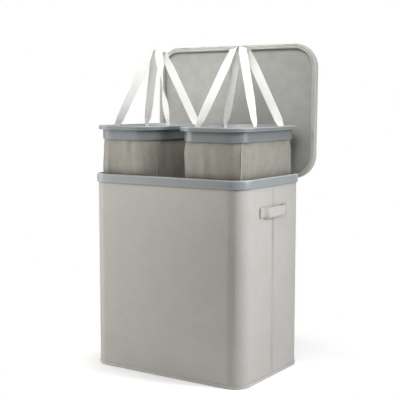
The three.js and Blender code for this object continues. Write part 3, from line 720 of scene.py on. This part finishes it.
def sideHandles():
    height, thick = handle["height"], handle["thickness"]
    for name, side in sides.items():
        low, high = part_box(f"side_handle_{name}")
        halfLength, middleZ = (high.y - low.y) / 2, (low.z + high.z) / 2
        wall = halfWidth + box["trimGap"] + thick / 2
        bow = (high.x if side > 0 else -low.x) - wall - thick / 2
        freeHalf = halfLength - handle["endLength"]
        ys = np.linspace(-halfLength, halfLength, handle["steps"] * 2 + 1)
        # the free part turns off the wall, runs flat, hangs a little and leans, its lower edge outward
        free = smoothstep((freeHalf - np.abs(ys)) / handle["turn"])
        path = np.column_stack([side * (wall + handle["bowShare"] * bow * free), ys,
                                middleZ - handle["sag"] * free])
        widths = np.column_stack([-side * handle["lean"] * free, np.zeros(len(ys)), np.ones(len(ys))])
        section = ribbonSection(height, thick - handle["puff"], handle["puff"] / 2)
        piece, across, outward = sweep(f"sideGrip_{name}", path, widths, section, wovenPolyester)
        place(piece, "box", "cover_fabric", f"side_handle_{name}")
        face = outward * np.sign(outward[0, 0] * side)
        skin, boxHalf = path + face * thick / 2, height / 2 - handle["boxEdge"]
        runs = []
        for way in (-1, 1):
            runs.append((skin + across * way * (height / 2 - handle["edgeStitch"]), face))
            runs += crossedBox(side * (wall + thick / 2), way * (freeHalf + handle["boxStart"]),
                               way * (halfLength - handle["boxEnd"]), middleZ - boxHalf, middleZ + boxHalf,
                               side)
        place(stitchRuns(f"gripStitches_{name}", runs, greyThread), "box", "cover_fabric")


def boxInside():
    low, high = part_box("inner_lining")
    radius = box["cornerRadius"] - (halfWidth - high.x)
    thin, slack = box["liningThickness"], box["liningSlack"]
    outline, _ = roundedLoop(high.x, high.y, radius, box["loopCounts"])
    inner, normals = roundedLoop(high.x - thin, high.y - thin, radius - thin, box["loopCounts"])
    rows = [level(outline, low.z), level(outline, high.z)]
    for z in np.linspace(high.z, low.z, 50):
        row = level(inner, z)
        row[:, :2] += normals * (slack * ripple(row, 80 * mm, 21, (1, 1, 0.5)))[:, None].clip(-slack, slack)
        rows.append(row)
    piece = loft("liningWrap", rows, brushedLining, rowsClosed=True)
    place(piece, "box", "lining_fabric", "inner_lining")
    low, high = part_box("floor_panel")
    grid = sheetRows(high.x, high.y, box["cornerRadius"] - (halfWidth - high.x), 60, 70)
    top = high.z - box["floorSoftness"] * (1 - fromBorder(grid, high.x, high.y, 10 * mm)) \
        - slack * (1 + ripple(level(grid, 0), 70 * mm, 22))
    place(sheetPiece("floorPad", grid, low.z, top.clip(low.z + 1 * mm, high.z), brushedLining),
          "box", "lining_fabric", "floor_panel")


coverWrap()
hemBand()
baseCloth()
rimBand()
boxSeams()
sideHandles()
boxInside()
print("box dressed")

# Bags: ring, clamp, cloth with sewn corners, floor
bag = {
    "lipOverhang": 12.5 * mm,
    "lipHeight": 12 * mm,
    "lipEdge": 2.6 * mm,
    "lipUnderEdge": 1.3 * mm,
    "lipInnerEdge": 1.5 * mm,
    "lipRadius": 70 * mm,
    "skirtThickness": 3.9 * mm,
    "skirtFoot": 1.1 * mm,
    "skirtFillet": 2 * mm,
    "clampThickness": 2 * mm,
    "clampEdge": 0.7 * mm,
    "loopCounts": (28, 24, 14),
    "rows": 84,
    "clothThickness": 1.2 * mm,
    "clothOffset": 4.2 * mm,
    "clampedRadius": 53.3 * mm,
    "cornerRadius": 36 * mm,
    "bottomInset": 9 * mm,
    "hemInset": 21 * mm,
    "taper": 2.5 * mm,
    "pipingRadius": 1.1 * mm,
    "seamShadeRadius": 0.9 * mm,
    "cornerReach": 62 * mm,
    "curveLead": 0.45,
    "floorSeamHeight": 14 * mm,
    # toward the ring the cloth is clamped, its corners widen, their ridges flatten and it is held still: each
    # as how far under the ring's foot that starts, and the height over which it grows
    "fades": [(6 * mm, 10 * mm), (34 * mm, 34 * mm), (9 * mm, 11 * mm), (10 * mm, 8 * mm)],
    # each corner's seam from the front right one round: its share of the turn, and how hard it is pulled
    "seams": {"left": [(0.9, 0.3), (1 / 3, 0.7), (2 / 3, 0.6), (1 / 3, 0.3)],
              "right": [(2 / 3, 1), (1 / 3, 0.8), (2 / 3, 0.6), (1 / 3, 0.3)]},
    # unevenness, as wavelength, stretch, how far it is sunk and its share of the pull inward: long soft
    # hollows, puckers that fade below the ring, and slanting pulls toward the corner seams
    "pullIn": 2 * mm,
    "waves": [(120 * mm, (1, 1, 0.6), 0.5, 0.8), (34 * mm, (1, 1, 0.22), 0.2, 0.9),
              (70 * mm, (1, 1, -0.9), 0.4, 0.5)],
    "puckerReach": 34 * mm,
    "seeds": {"left": 31, "right": 37},
    # hollows beside the seams: place along the width and depth, below the ring, then width, height and depth
    "dents": {"left": [(70, -176, 26, 22, 26, 2.4), (-40, -176, 40, 40, 30, 2.2), (103, -110, 34, 26, 40, 2.4),
                       (20, -176, 66, 30, 34, 1.8), (-103, -90, 36, 40, 40, 2.2), (103, 60, 44, 50, 40, 2.5)],
              "right": [(103, -132, 16, 15, 20, 3.4), (103, -60, 58, 34, 30, 2.4), (66, -176, 40, 26, 46, 2.6),
                        (-30, -176, 24, 44, 20, 2.0), (103, 80, 26, 50, 30, 2.6), (103, 10, 20, 30, 16, 1.8),
                        (-86, -176, 56, 26, 34, 2.0)]},
    "floorSag": 0.5 * mm,
}


def bagBox(name):
    low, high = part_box(f"bag_rim_{name}")
    centreX = (low.x + high.x) / 2
    return low, high, centreX, (high.x - low.x) / 2 - bag["lipOverhang"], high.y - bag["lipOverhang"]


def bagRing(name):
    low, high, centreX, skirtWidth, skirtDepth = bagBox(name)
    radius, wide, thick = bag["lipRadius"] - bag["lipOverhang"], bag["lipOverhang"], bag["skirtThickness"]
    edge, under, inside = bag["lipEdge"], bag["lipUnderEdge"], bag["lipInnerEdge"]
    foot, fillet, lipBottom, top = bag["skirtFoot"], bag["skirtFillet"], high.z - bag["lipHeight"], high.z
    # rows close to each edge keep its line of wear and painted highlight narrow
    skirt = [(-thick, low.z), *arc(-foot, low.z + foot, foot, -90, 0, 3), (0, low.z + 2 * foot),
             (0, low.z + 4 * mm), (0, low.z + 8 * mm), (0, lipBottom - 6 * mm), (0, lipBottom - 3.5 * mm)]
    lip = [*arc(fillet, lipBottom - fillet, fillet, 180, 90, 3), (wide - 2.4 * mm, lipBottom),
           *arc(wide - under, lipBottom + under, under, -90, -10, 4),
           (wide - 0.1 * mm, lipBottom + 2 * under), (wide - 0.1 * mm, lipBottom + 5 * mm),
           *arc(wide - edge, top - edge, edge, 0, 90, 8), (wide - edge - 1.5 * mm, top),
           (wide / 2, top - 0.1 * mm), *arc(inside - thick, top - inside, inside, 90, 180, 4)]
    clampLow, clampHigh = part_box(f"clamp_ring_{name}")
    outset, edge = (clampHigh.x - clampLow.x) / 2 - skirtWidth, bag["clampEdge"]
    inner, bottom, top = outset - bag["clampThickness"], clampLow.z, clampHigh.z
    clamp = [(inner, bottom), *arc(outset - edge, bottom + edge, edge, -90, 0, 2),
             *arc(outset - edge, top - edge, edge, 0, 90, 2),
             *arc(inner + edge, top - edge, edge, 90, 180, 2), (inner, bottom + 1 * mm)]
    for pieceName, section, node in (("bagRing", skirt + lip, "bag_rim"), ("clampBand", clamp, "clamp_ring")):
        rows = bandRows(section, skirtWidth, skirtDepth, radius, bag["loopCounts"], centreX)
        place(loft(f"{pieceName}_{name}", rows, ringPlastic, rowsClosed=True), f"{name}_bag", "rim_plastic",
              f"{node}_{name}")


def clothLoop(name, wide, deep, radius, ridge):
    # The cloth's outline at one height. Where ridge is 1, a fully pulled corner comes to an edge at its seam
    cornerCount, endCount, sideCount = bag["loopCounts"]
    reach, halfCount, arcCount = bag["cornerReach"], cornerCount // 2, 24
    share = np.linspace(0, 1, halfCount + 1)[:, None]
    points = []
    for quarter, (sideX, sideY) in enumerate(corners.values()):
        turns = (quarter - 1 + np.linspace(0, 1, arcCount + 1)) * math.pi / 2
        turned = np.array([sideX * (wide - radius), sideY * (deep - radius)]) + radius * np.column_stack(
            [np.cos(turns), np.sin(turns)])
        before = np.array([math.sin(turns[0]), -math.cos(turns[0])])
        after = np.array([-math.sin(turns[-1]), math.cos(turns[-1])])
        start, end = turned[0] + before * (reach - radius), turned[-1] + after * (reach - radius)
        # a seam has its own place on the turn, and is always the corner's middle point
        seamShare, pull = bag["seams"][name][quarter]
        peakStep = round(arcCount * seamShare)
        peak = turned[peakStep]
        plain = np.concatenate([[start], turned, [end]])
        length = lengthsAlong(plain)
        at = np.concatenate([np.linspace(0, length[peakStep + 1], halfCount + 1),
                             np.linspace(length[peakStep + 1], length[-1], halfCount + 1)[1:]])
        plain = np.column_stack([np.interp(at, length, plain[:, axis]) for axis in range(2)])
        # drawn tight, the cloth runs from each straight wall to the seam in a flat curve
        lead = reach * bag["curveLead"]
        rise, fall = [(1 - share) ** 2 * foot + 2 * share * (1 - share) * (foot - away * lead)
                      + share ** 2 * peak for foot, away in ((start, before), (end, after))]
        pulled = np.concatenate([rise, fall[::-1][1:]])
        points += list(plain * (1 - ridge * pull) + pulled * ridge * pull)
        nextX, nextY = list(corners.values())[(quarter + 1) % 4]
        follow = np.array([nextX * wide, nextY * deep]) - np.array([
            nextX * reach if quarter % 2 else 0, 0 if quarter % 2 else nextY * reach])
        count = endCount if quarter % 2 == 0 else sideCount
        points += [end + (follow - end) * step / count for step in range(1, count)]
    points = np.array(points)
    return points, loopNormals(points)[:, :2]


settle = {
    "frames": 22,
    "quality": 7,
    "grow": -0.012,  # below 0 the cloth is that much larger than its frame
    "mass": 0.18,
    "tension": 12,
    "bending": 6,
    "inMost": 4.5 * mm,
    "outMost": 0.4 * mm,
    "slideMost": 3 * mm,
}


def settleCloth(name, rows, heldRows):
    # Lets the cut cloth, a little larger than its frame, sag and crumple between its held rows
    count = len(rows[0])
    draft = loft(f"draft_{name}", rows, coatedCloth)
    group = draft.vertex_groups.new(name="held")
    for row, weight in enumerate(heldRows):
        group.add(list(range(row * count, (row + 1) * count)), float(weight), "REPLACE")
    cloth = draft.modifiers.new("settle", "CLOTH")
    facts = cloth.settings
    facts.quality, facts.mass, facts.shrink_min = settle["quality"], settle["mass"], settle["grow"]
    facts.tension_stiffness = facts.compression_stiffness = settle["tension"]
    facts.bending_stiffness = settle["bending"]
    facts.vertex_group_mass = "held"
    cloth.point_cache.frame_start, cloth.point_cache.frame_end = 1, settle["frames"]
    for step in range(1, settle["frames"] + 1):
        bpy.context.scene.frame_set(step)
    final = draft.evaluated_get(bpy.context.evaluated_depsgraph_get())
    found = np.empty(rows.size)
    final.data.vertices.foreach_get("co", found)
    bpy.context.scene.frame_set(1)
    bpy.data.objects.remove(draft)
    move, normals = found.reshape(rows.shape) - rows, loopNormals(rows)
    out = np.sum(move * normals, axis=-1)
    slide = move - normals * out[..., None]
    far = np.linalg.norm(slide, axis=-1)
    slide *= np.minimum(settle["slideMost"] / np.maximum(far, 1e-9), 1)[..., None]
    # the inward reach is eased, so a deep fold flattens rather than breaks
    inward = settle["inMost"] * np.tanh(-np.minimum(out, 0) / settle["inMost"])
    outward = np.clip(out, 0, settle["outMost"])
    loose = 1 - np.asarray(heldRows)[:, None, None]
    print(f"cloth of {name} settled: inward {inward.max() / mm:.1f} mm, slid {far.max() / mm:.1f} mm")
    return rows + (slide + normals * (outward - inward)[..., None]) * loose


def bagRow(name, z, heights):
    # One row of the cloth at a height, and how firmly the ring or the floor seam holds it there
    low, _, centreX, skirtWidth, skirtDepth = bagBox(name)
    across, along = [np.interp(z, heights["z"], heights[way]) for way in ("across", "along")]
    overFoot = z - low.z
    clamped, widened, flattened, held = [smoothstep((overFoot + below) / span) for below, span in bag["fades"]]
    radius = bag["cornerRadius"] + (bag["clampedRadius"] - bag["cornerRadius"]) * widened
    points, normals = clothLoop(name, skirtWidth + across, skirtDepth + along, radius, 1 - flattened)
    row = level(points + [centreX, 0], z)
    hollow, pucker, drag = [(ripple(row, size, bag["seeds"][name] + step, stretch) - sunk) * share
                            for step, (size, stretch, sunk, share) in enumerate(bag["waves"])]
    pucker = pucker * math.exp(-max(-overFoot, 0) / bag["puckerReach"])
    overFloor = z - heights["z"][0]
    push = (hollow + pucker + drag) * bag["pullIn"] * (1 - clamped) * smoothstep(overFloor / (30 * mm))
    push = np.minimum(push, 0.0)
    for x, y, below, width, height, depth in bag["dents"][name]:
        apart = np.hypot(row[:, 0] - centreX - x * mm, row[:, 1] - y * mm) / (width * mm)
        rise = (overFoot + below * mm) / (height * mm)
        push -= depth * mm * np.exp(-apart ** 2 - rise ** 2) * (1 - clamped)
    row[:, :2] += normals * push[:, None]
    sewn = 1 - smoothstep((overFloor - bag["floorSeamHeight"]) / (10 * mm))
    return row, max(float(held), float(sewn))


def bagCloth(name):
    low, high, centreX, *_ = bagBox(name)
    topZ, bottomZ = high.z - 2 * mm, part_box(f"liner_floor_{name}")[0].z + 1.9 * mm
    hem, inset, offset = -bag["hemInset"], -bag["bottomInset"], -bag["clothOffset"]
    slim = offset - bag["taper"]
    # heights, and how far the cloth stands out from the ring's skirt there, across and along the bag
    profile = [(bottomZ, hem, hem), (bottomZ + 12 * mm, inset, inset),
               (bottomZ + (topZ - bottomZ) / 3, slim, offset / 2), (rimLow.z, slim, offset),
               (rimHigh.z, slim, offset), (rimHigh.z + 26 * mm, offset - 1 * mm, offset),
               (low.z, offset, offset), (topZ, offset, offset)]
    heights = dict(zip(("z", "across", "along"), zip(*profile)))
    seamTop = bottomZ + bag["floorSeamHeight"]
    fine = np.concatenate([np.linspace(bottomZ, seamTop, 7)[:-1], np.linspace(seamTop, topZ, bag["rows"])])
    outer, held = zip(*[bagRow(name, z, heights) for z in fine])
    outer = np.array(outer)
    outer = settleCloth(name, outer, held)
    inner = outer - loopNormals(outer) * bag["clothThickness"]
    rows = np.concatenate([outer, inner[::-1]])
    piece = loft(f"bagCloth_{name}", rows, coatedCloth, rowsClosed=True, sharpAngle=30)
    place(piece, f"{name}_bag", "bag_fabric",
          *[f"bag_liner_{name}_{panel}" for panel in ("front", "back", "outer", "inner")])
    # piping down each corner seam, from the ring to the floor seam, and beside it a thin dark tube of painted
    # shade
    cornerCount, endCount, sideCount = bag["loopCounts"]
    middle, trims = cornerCount // 2, []
    for quarter, corner in enumerate(corners):
        down = outer[:, middle, 2]
        keep = (down < low.z + 6 * mm) & (down > seamTop)
        seam = outer[keep, middle]
        inward = unit(np.array([centreX, 0, 0]) - seam * [1, 1, 0])
        endSide = unit(outer[keep, middle + (-1 if quarter % 2 == 0 else 1)] - seam)
        piping = tube(f"bagPiping_{name}_{corner}", seam + inward * 0.5 * mm, bag["pipingRadius"], seamTape)
        # painted shade: a thin dark tube beside the piping, where the valley lies in shade
        turned = tube(f"bagSeamShade_{name}_{corner}", seam + endSide * 2 * mm + inward * 0.35 * mm,
                      bag["seamShadeRadius"], paintedSeamShade)
        trims += [place(trim, f"{name}_bag", "bag_fabric") for trim in (piping, turned)]
        middle += cornerCount + (endCount if quarter % 2 == 0 else sideCount)


def bagFloor(name):
    low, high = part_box(f"liner_floor_{name}")
    centreX, wide, deep = (low.x + high.x) / 2, (high.x - low.x) / 2, high.y
    grid = sheetRows(wide, deep, bag["cornerRadius"], 30, 24)
    sag = bag["floorSag"] * (1 + ripple(level(grid, 0), 60 * mm, 41)).clip(0, 2) \
        * fromBorder(grid, wide, deep, 16 * mm)
    piece = sheetPiece(f"bagFloor_{name}", grid + [centreX, 0], low.z - sag, high.z - sag, coatedCloth)
    place(piece, f"{name}_bag", "bag_fabric", f"liner_floor_{name}")


for name in sides:
    bagRing(name)
    bagCloth(name)
    bagFloor(name)
print("bags dressed")

# Carrying straps: one ribbon of webbing from tab to tab, turned on edge at its feet and flat at its top
strap = {
    "width": 25 * mm,
    "thickness": 1.6 * mm,
    "crown": 0.15 * mm,
    "apexRadius": 14 * mm,
    "rise": 245 * mm,
    "legSteps": 44,
    "apexSteps": 18,
    "tabSteps": 8,
    "tabDrop": 1.2 * mm,  # from the hinge to where the sewn tab starts
    "tabStitch": 22 * mm,  # height over the tab's end to which its stitches go
    "stitchInset": 3 * mm,
    # How a leg twists as it climbs, as (share of the climb, degrees from lying flat over the top). Most turn
    # their face to the front right; one has a half twist the other way
    "frontTwist": [(0, 90), (0.1, 66), (0.4, 36), (0.75, 34), (1, 0)],
    "backTwist": [(0, 90), (0.1, 56), (0.3, 40), (0.75, 38), (1, 0)],
    "crossTwist": [(0, -90), (0.25, -112), (0.64, -55), (0.9, 0), (1, 0)],
    "crossed": [("left", "inner")],
}


def twistAt(keys, share):
    for (before, start), (after, end) in zip(keys, keys[1:]):
        if share <= after:
            return start + (end - start) * float(smoothstep((share - before) / (after - before)))
    return keys[-1][1]


def strapRibbon(name, wall):
    joint = next(j for j in frame["joints"] if j["name"] == f"{name}_{wall}_strap_fold")
    hinge = Vector(joint["pos_m"])
    bagCentre = bagBox(name)[2]
    tabLow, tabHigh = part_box(f"strap_tab_{name}_{wall}_front")
    footY = (tabLow.y + tabHigh.y) / 2
    inwardSign = 1 if bagCentre > hinge.x else -1
    lean = math.acos(min((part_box(f"strap_{name}_{wall}")[1].z - hinge.z) / strap["rise"], 1))
    apexHeight = strap["rise"] - strap["apexRadius"] - strap["thickness"] / 2
    halfSpan, radius = -footY, strap["apexRadius"]
    legTurn = math.atan2(halfSpan, apexHeight) - math.asin(radius / math.hypot(halfSpan, apexHeight))
    frontTwist = strap["crossTwist" if (name, wall) in strap["crossed"] else "frontTwist"]
    # the front leg's places as (y, height in the leaning plane), foot to top, then the bend over the top
    tangentY, tangentH = -radius * math.cos(legTurn), apexHeight + radius * math.sin(legTurn)
    leg = [(footY + (tangentY - footY) * share, tangentH * share)
           for share in np.linspace(0, 1, strap["legSteps"] + 1)]
    bend = [(-radius * math.cos(a), apexHeight + radius * math.sin(a))
            for a in np.linspace(legTurn, math.pi - legTurn, strap["apexSteps"] + 1)]
    outline = leg[:-1] + bend + [(-y, height) for y, height in leg[:-1][::-1]]
    planeNormal = Vector((math.cos(lean), 0, inwardSign * math.sin(lean)))
    up = Vector((inwardSign * math.sin(lean), 0, math.cos(lean)))
    path, across = [], []
    for step, (y, height) in enumerate(outline):
        path.append(Vector((hinge.x, y, hinge.z)) + up * height)
        ahead, behind = outline[min(step + 1, len(outline) - 1)], outline[max(step - 1, 0)]
        tangent = (Vector((0, ahead[0] - behind[0], 0)) + up * (ahead[1] - behind[1])).normalized()
        share = min(height / apexHeight, 1.0)
        twist = twistAt(frontTwist, share) if step < len(outline) / 2 else -twistAt(strap["backTwist"], share)
        turn = math.radians(twist)
        across.append(planeNormal * math.cos(turn) + tangent.cross(planeNormal) * math.sin(turn))
    # the sewn tabs hang straight down from the two feet
    tabHeights = np.linspace(tabLow.z, hinge.z - strap["tabDrop"], strap["tabSteps"])
    frontTab, backTab = [[Vector((hinge.x, y, z)) for z in tabHeights] for y in (footY, -footY)]
    path = frontTab + path + backTab[::-1]
    across = [across[0]] * len(frontTab) + across + [across[-1]] * len(backTab)
    section = ribbonSection(strap["width"], strap["thickness"] - 2 * strap["crown"], strap["crown"], 10)
    piece, *_ = sweep(f"strapWeb_{name}_{wall}", path, across, section, whiteWebbing)
    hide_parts(f"strap_{name}_{wall}",
                *[f"strap_tab_{name}_{wall}_{end}" for end in ("front", "back")])
    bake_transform(piece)
    runs, inset, half = [], strap["stitchInset"], strap["width"] / 2
    for y in (footY, -footY):
        runs += crossedBox(hinge.x + inwardSign * strap["thickness"] / 2, y - half + inset, y + half - inset,
                           tabLow.z + inset, tabLow.z + strap["tabStitch"], inwardSign)
    place(stitchRuns(f"tabStitches_{name}_{wall}", runs, whiteThread), f"{name}_bag", "webbing")


for name in sides:
    for wall in ("outer", "inner"):
        strapRibbon(name, wall)
print("straps made")

# Lid, drawn shut and turned open about its hinge
lid = {
    "openAngle": 91,
    "loopCounts": (30, 50, 70),
    "bottom": 598 * mm,
    "panelBottom": 613.5 * mm,
    "top": 619.1 * mm,
    "innerOffset": 13 * mm,
    "borderWidth": 14 * mm,
    "borderEdge": 4.5 * mm,
    "borderInnerEdge": 3 * mm,
    "borderSwell": 0.25 * mm,
    "grooveHalf": 1.4 * mm,
    "grooveDepth": 1.1 * mm,
    "panelThickness": 0.8 * mm,
    "panelPuff": 0.45 * mm,
    "panelPuffMost": 1.2 * mm,
    "coverThickness": 1.2 * mm,
    "shoulder": 4 * mm,
    "shoulderTurn": 78,
    "topDip": 0.25 * mm,
    "topStitchInset": 4 * mm,
    "pipingRadius": 1.3 * mm,
}
lidHinge = Vector(next(j for j in frame["joints"] if j["name"] == "lid_hinge")["pos_m"])
lidTurn = (Matrix.Translation(lidHinge) @ Matrix.Rotation(-math.radians(lid["openAngle"]), 4, "X")
           @ Matrix.Translation(-lidHinge))


def placeOnLid(piece, slotName, *replaced):
    piece.data.transform(lidTurn)
    return place(piece, "lid", slotName, *replaced)


def lidBorder(inner, outer, low):
    # padded border: rounded lips either side of a sewn groove
    groove, half, bottom = (inner + outer - 1 * mm) / 2, lid["grooveHalf"], low + 0.1 * mm
    edge, rounded, side = lid["borderEdge"], lid["borderInnerEdge"], outer - 0.6 * mm
    section = [(inner, lid["panelBottom"]), *arc(inner + rounded, low + rounded, rounded, 180, 262, 5),
               (groove - half, bottom), (groove, low + lid["grooveDepth"]), (groove + half, bottom),
               *arc(side - edge, low + edge, edge, -92, 0, 7), (side, lid["panelBottom"])]
    rows = bandRows(section, halfWidth, halfDepth, box["cornerRadius"], lid["loopCounts"])
    for row, (_, z) in zip(rows, section):
        if z < lid["panelBottom"]:
            row[:, 2] += np.abs(lid["borderSwell"] * ripple(row, 45 * mm, 51))
    border = loft("lidBorder", rows, wovenPolyester, rowsClosed=True)
    placeOnLid(border, "cover_fabric", "lid_frame")
    placeOnLid(stitchLoop("lidStitches", halfWidth + groove, halfDepth + groove, box["cornerRadius"] + groove,
                          low + 1.0 * mm, (0, 0, -1)), "cover_fabric")


def lidPanel(inner):
    # the lining inside the border, a little puffed
    radius, bottom = box["cornerRadius"] + inner, lid["panelBottom"]
    wide, deep = halfWidth + inner - 0.3 * mm, halfDepth + inner - 0.3 * mm
    grid = sheetRows(wide, deep, radius, 90, 100)
    waves = 1 + 0.6 * ripple(level(grid, 0), 90 * mm, 52) + 0.3 * ripple(level(grid, 0), 30 * mm, 53)
    puff = lid["panelPuff"] * waves * fromBorder(grid, wide, deep, 9 * mm)
    piece = sheetPiece("lidPanel", grid, bottom - puff.clip(0, lid["panelPuffMost"]),
                       bottom + lid["panelThickness"], brushedLining)
    placeOnLid(piece, "lining_fabric", "lid_lining")


def lidCover(outer, low):
    # side band and top panel, sewn together over the shoulder, and piped below
    radius, top, thick = box["cornerRadius"] + outer, lid["top"], lid["coverThickness"]
    shoulder, turn, hem = lid["shoulder"], lid["shoulderTurn"], low + 3 * mm
    section = [(outer - thick, hem), (outer, hem), (outer, hem + 5 * mm),
               *arc(outer - shoulder, top - shoulder, shoulder, 0, turn, 6),
               *arc(outer - shoulder, top - shoulder, shoulder - thick, turn, 0, 6)]
    piece = boxBand("lidSideBand", section, wovenPolyester, lid["loopCounts"])
    placeOnLid(piece, "cover_fabric", "lid_cover")
    inset = shoulder - 0.6 * mm
    wide, deep, radius = halfWidth + outer - inset, halfDepth + outer - inset, radius - inset
    grid = sheetRows(wide, deep, radius, 90, 100)
    dip = lid["topDip"] * (1 + ripple(level(grid, 0), 110 * mm, 54)).clip(0, 2) \
        * fromBorder(grid, wide, deep, 16 * mm)
    piece = sheetPiece("lidTopPanel", grid, top - thick - dip, top - dip, wovenPolyester)
    placeOnLid(piece, "cover_fabric")
    inset = lid["topStitchInset"]
    placeOnLid(stitchLoop("lidTopStitches", wide - inset, deep - inset, radius - inset, top - 0.05 * mm,
                          (0, 0, 1)), "cover_fabric")
    section = arc(outer - 1 * mm, low + 2.6 * mm, lid["pipingRadius"], 0, 360, 10)[:-1]
    placeOnLid(boxBand("lidPiping", section, seamTape, lid["loopCounts"]), "cover_fabric")


lidInner = lid["innerOffset"]
lidOuter = lidInner + lid["borderWidth"]
lidBorder(lidInner, lidOuter, lid["bottom"])
lidPanel(lidInner)
lidCover(lidOuter, lid["bottom"])
print("lid dressed")

# Frame pieces that show as they are: rounded edges and their own finish
edgeRounding = {"width": 0.5 * mm, "segments": 3, "fromAngle": 35}


def dressNode(node, material):
    piece = frame["nodes"][node]
    piece.data.materials.clear()
    piece.data.materials.append(material)
    bevel = piece.modifiers.new("softEdges", "BEVEL")
    bevel.width, bevel.segments = edgeRounding["width"], edgeRounding["segments"]
    bevel.limit_method, bevel.angle_limit = "ANGLE", math.radians(edgeRounding["fromAngle"])
    piece.data.shade_smooth()
    piece.data.set_sharp_from_angle(angle=math.radians(edgeRounding["fromAngle"]))


for node in frame["nodes"]:
    if frame["nodes"][node].hide_render:
        continue
    if "screw" in node or "pin" in node:
        dressNode(node, platedSteel)
    elif node.startswith("hinge"):
        dressNode(node, mouldedPlastic)
    elif "board" in node or node.startswith("base_pad"):
        dressNode(node, greyboard)
    else:
        print("node without a finish:", node)
        dressNode(node, wovenPolyester)
print("frame pieces finished")

# Room: white floor that keeps the shadow, with a painted shadow along the hem, white surround, soft lamps
room = {
    "floorSize": 12.0,
    "paper": "#eaeaea",
    # metres from the middle of the floor at which its paper starts and ends to fade into plain white
    "whiteFrom": 0.36,
    "whiteTo": 0.56,
    "floorGlow": 0.52,
    # painted shadow where the hem meets the floor: its width, and its depth at the left and at the right
    "paintedShadowReach": 0.11,
    "paintedShadowLeft": 1.0,
    "paintedShadowRight": 0.15,
    "paintedShadowFade": (0.0, 0.3),
    "ambient": 0.25,  # of the surround, on the hamper
}
lamps = {
    # place, size across and up, watts, aimed at, spread in degrees, colour
    "windowLeft": ((-1.15, -0.75, 0.57), (0.8, 1.1), 11, (-0.1, -0.1, 0.4), 180, "#ffffff"),
    "panelRight": ((1.5, 0.2, 0.95), (0.3, 1.2), 5.3, (0.25, -0.37, 0.34), 84, "#f8f9ff"),
    "overhead": ((0.1, 0.0, 2.5), (1.0, 1.0), 8, (0, 0, 0.6), 180, "#ffffff"),
    "topFront": ((0.45, -0.85, 1.5), (0.6, 0.6), 1.45, (0.03, 0.0, 0.99), 48, "#ffffff"),
}


def whiteForCamera(tree):
    # 1 for what the camera, a mirror or glass sees directly
    path = addNode(tree, "LightPath")
    sharp = addNode(tree, "Math", {"operation": "MAXIMUM"},
                    {0: path.outputs["Is Camera Ray"], 1: path.outputs["Is Transmission Ray"]})
    return addNode(tree, "Math", {"operation": "MAXIMUM"},
                   {0: sharp.outputs[0], 1: path.outputs["Is Glossy Ray"]})


def makeRoom():
    world = bpy.data.worlds.new("surround")
    world.use_nodes = True
    tree = world.node_tree
    tree.nodes.clear()
    seen = whiteForCamera(tree)
    strength = addNode(tree, "MapRange", {"To Min": room["ambient"], "To Max": 1.0},
                       {"Value": seen.outputs[0]})
    ground = addNode(tree, "Background", {"Color": "#ffffff"}, {"Strength": strength.outputs[0]})
    addNode(tree, "OutputWorld", None, {"Surface": ground.outputs[0]})
    bpy.context.scene.world = world

    material, tree = startMaterial("paperFloor")
    coords = addNode(tree, "TexCoord").outputs["Object"]
    distance = addNode(tree, "VectorMath", {"operation": "LENGTH"}, {0: coords})
    away = addNode(tree, "MapRange", {
        "interpolation_type": "SMOOTHSTEP", "From Min": room["whiteFrom"], "From Max": room["whiteTo"]},
        {"Value": distance.outputs["Value"]})
    seen = whiteForCamera(tree)
    paper = addNode(tree, "BsdfDiffuse", {"Color": room["paper"]})
    # painted shadow: near the hem the floor's glow is dimmed by its occlusion, most at the left
    contact = addNode(tree, "AmbientOcclusion", {"samples": 8, "Distance": room["paintedShadowReach"]})
    across = addNode(tree, "SeparateXYZ", None, {0: coords})
    share = addNode(tree, "MapRange", {
        "From Min": room["paintedShadowFade"][0], "From Max": room["paintedShadowFade"][1],
        "To Min": room["paintedShadowLeft"], "To Max": room["paintedShadowRight"]}, {"Value": across.outputs["X"]})
    paintedShadowMask = addNode(tree, "Math", {"operation": "SUBTRACT", 0: 1.0}, {1: contact.outputs["AO"]})
    shade = addNode(tree, "Math", {"operation": "MULTIPLY"}, {0: paintedShadowMask.outputs[0], 1: share.outputs[0]})
    strength = addNode(tree, "Math", {
        "operation": "MULTIPLY_ADD", 1: -room["floorGlow"], 2: room["floorGlow"]}, {0: shade.outputs[0]})
    glow = addNode(tree, "Emission", None, {"Strength": strength.outputs[0]})
    near = addNode(tree, "AddShader", None, {0: paper.outputs[0], 1: glow.outputs[0]})
    plain = addNode(tree, "Emission", {"Strength": 1.0})
    faded = addNode(tree, "MixShader", None, {0: away.outputs[0], 1: near.outputs[0], 2: plain.outputs[0]})
    final = addNode(tree, "MixShader", None, {0: seen.outputs[0], 1: paper.outputs[0], 2: faded.outputs[0]})
    addNode(tree, "OutputMaterial", None, {"Surface": final.outputs[0]})
    half = room["floorSize"] / 2
    mesh = bpy.data.meshes.new("paperFloor")
    mesh.from_pydata([(half * x, half * y, 0) for x, y in ((-1, -1), (1, -1), (1, 1), (-1, 1))], [],
                     [(0, 1, 2, 3)])
    mesh.materials.append(material)
    floor = bpy.data.objects.new("paperFloor", mesh)
    bpy.context.scene.collection.objects.link(floor)

    for name, (spot, size, watts, aim, spread, colour) in lamps.items():
        lamp = bpy.data.lights.new(name, "AREA")
        lamp.spread, lamp.color = math.radians(spread), toLinear(colour)[:3]
        lamp.shape, lamp.size, lamp.size_y, lamp.energy = "RECTANGLE", size[0], size[1], watts
        holder = bpy.data.objects.new(name, lamp)
        holder.location = spot
        holder.rotation_euler = (Vector(aim) - Vector(spot)).to_track_quat("-Z", "Y").to_euler()
        bpy.context.scene.collection.objects.link(holder)
    bpy.context.scene.view_settings.view_transform = "Standard"


makeRoom()
print("room and lamps made")
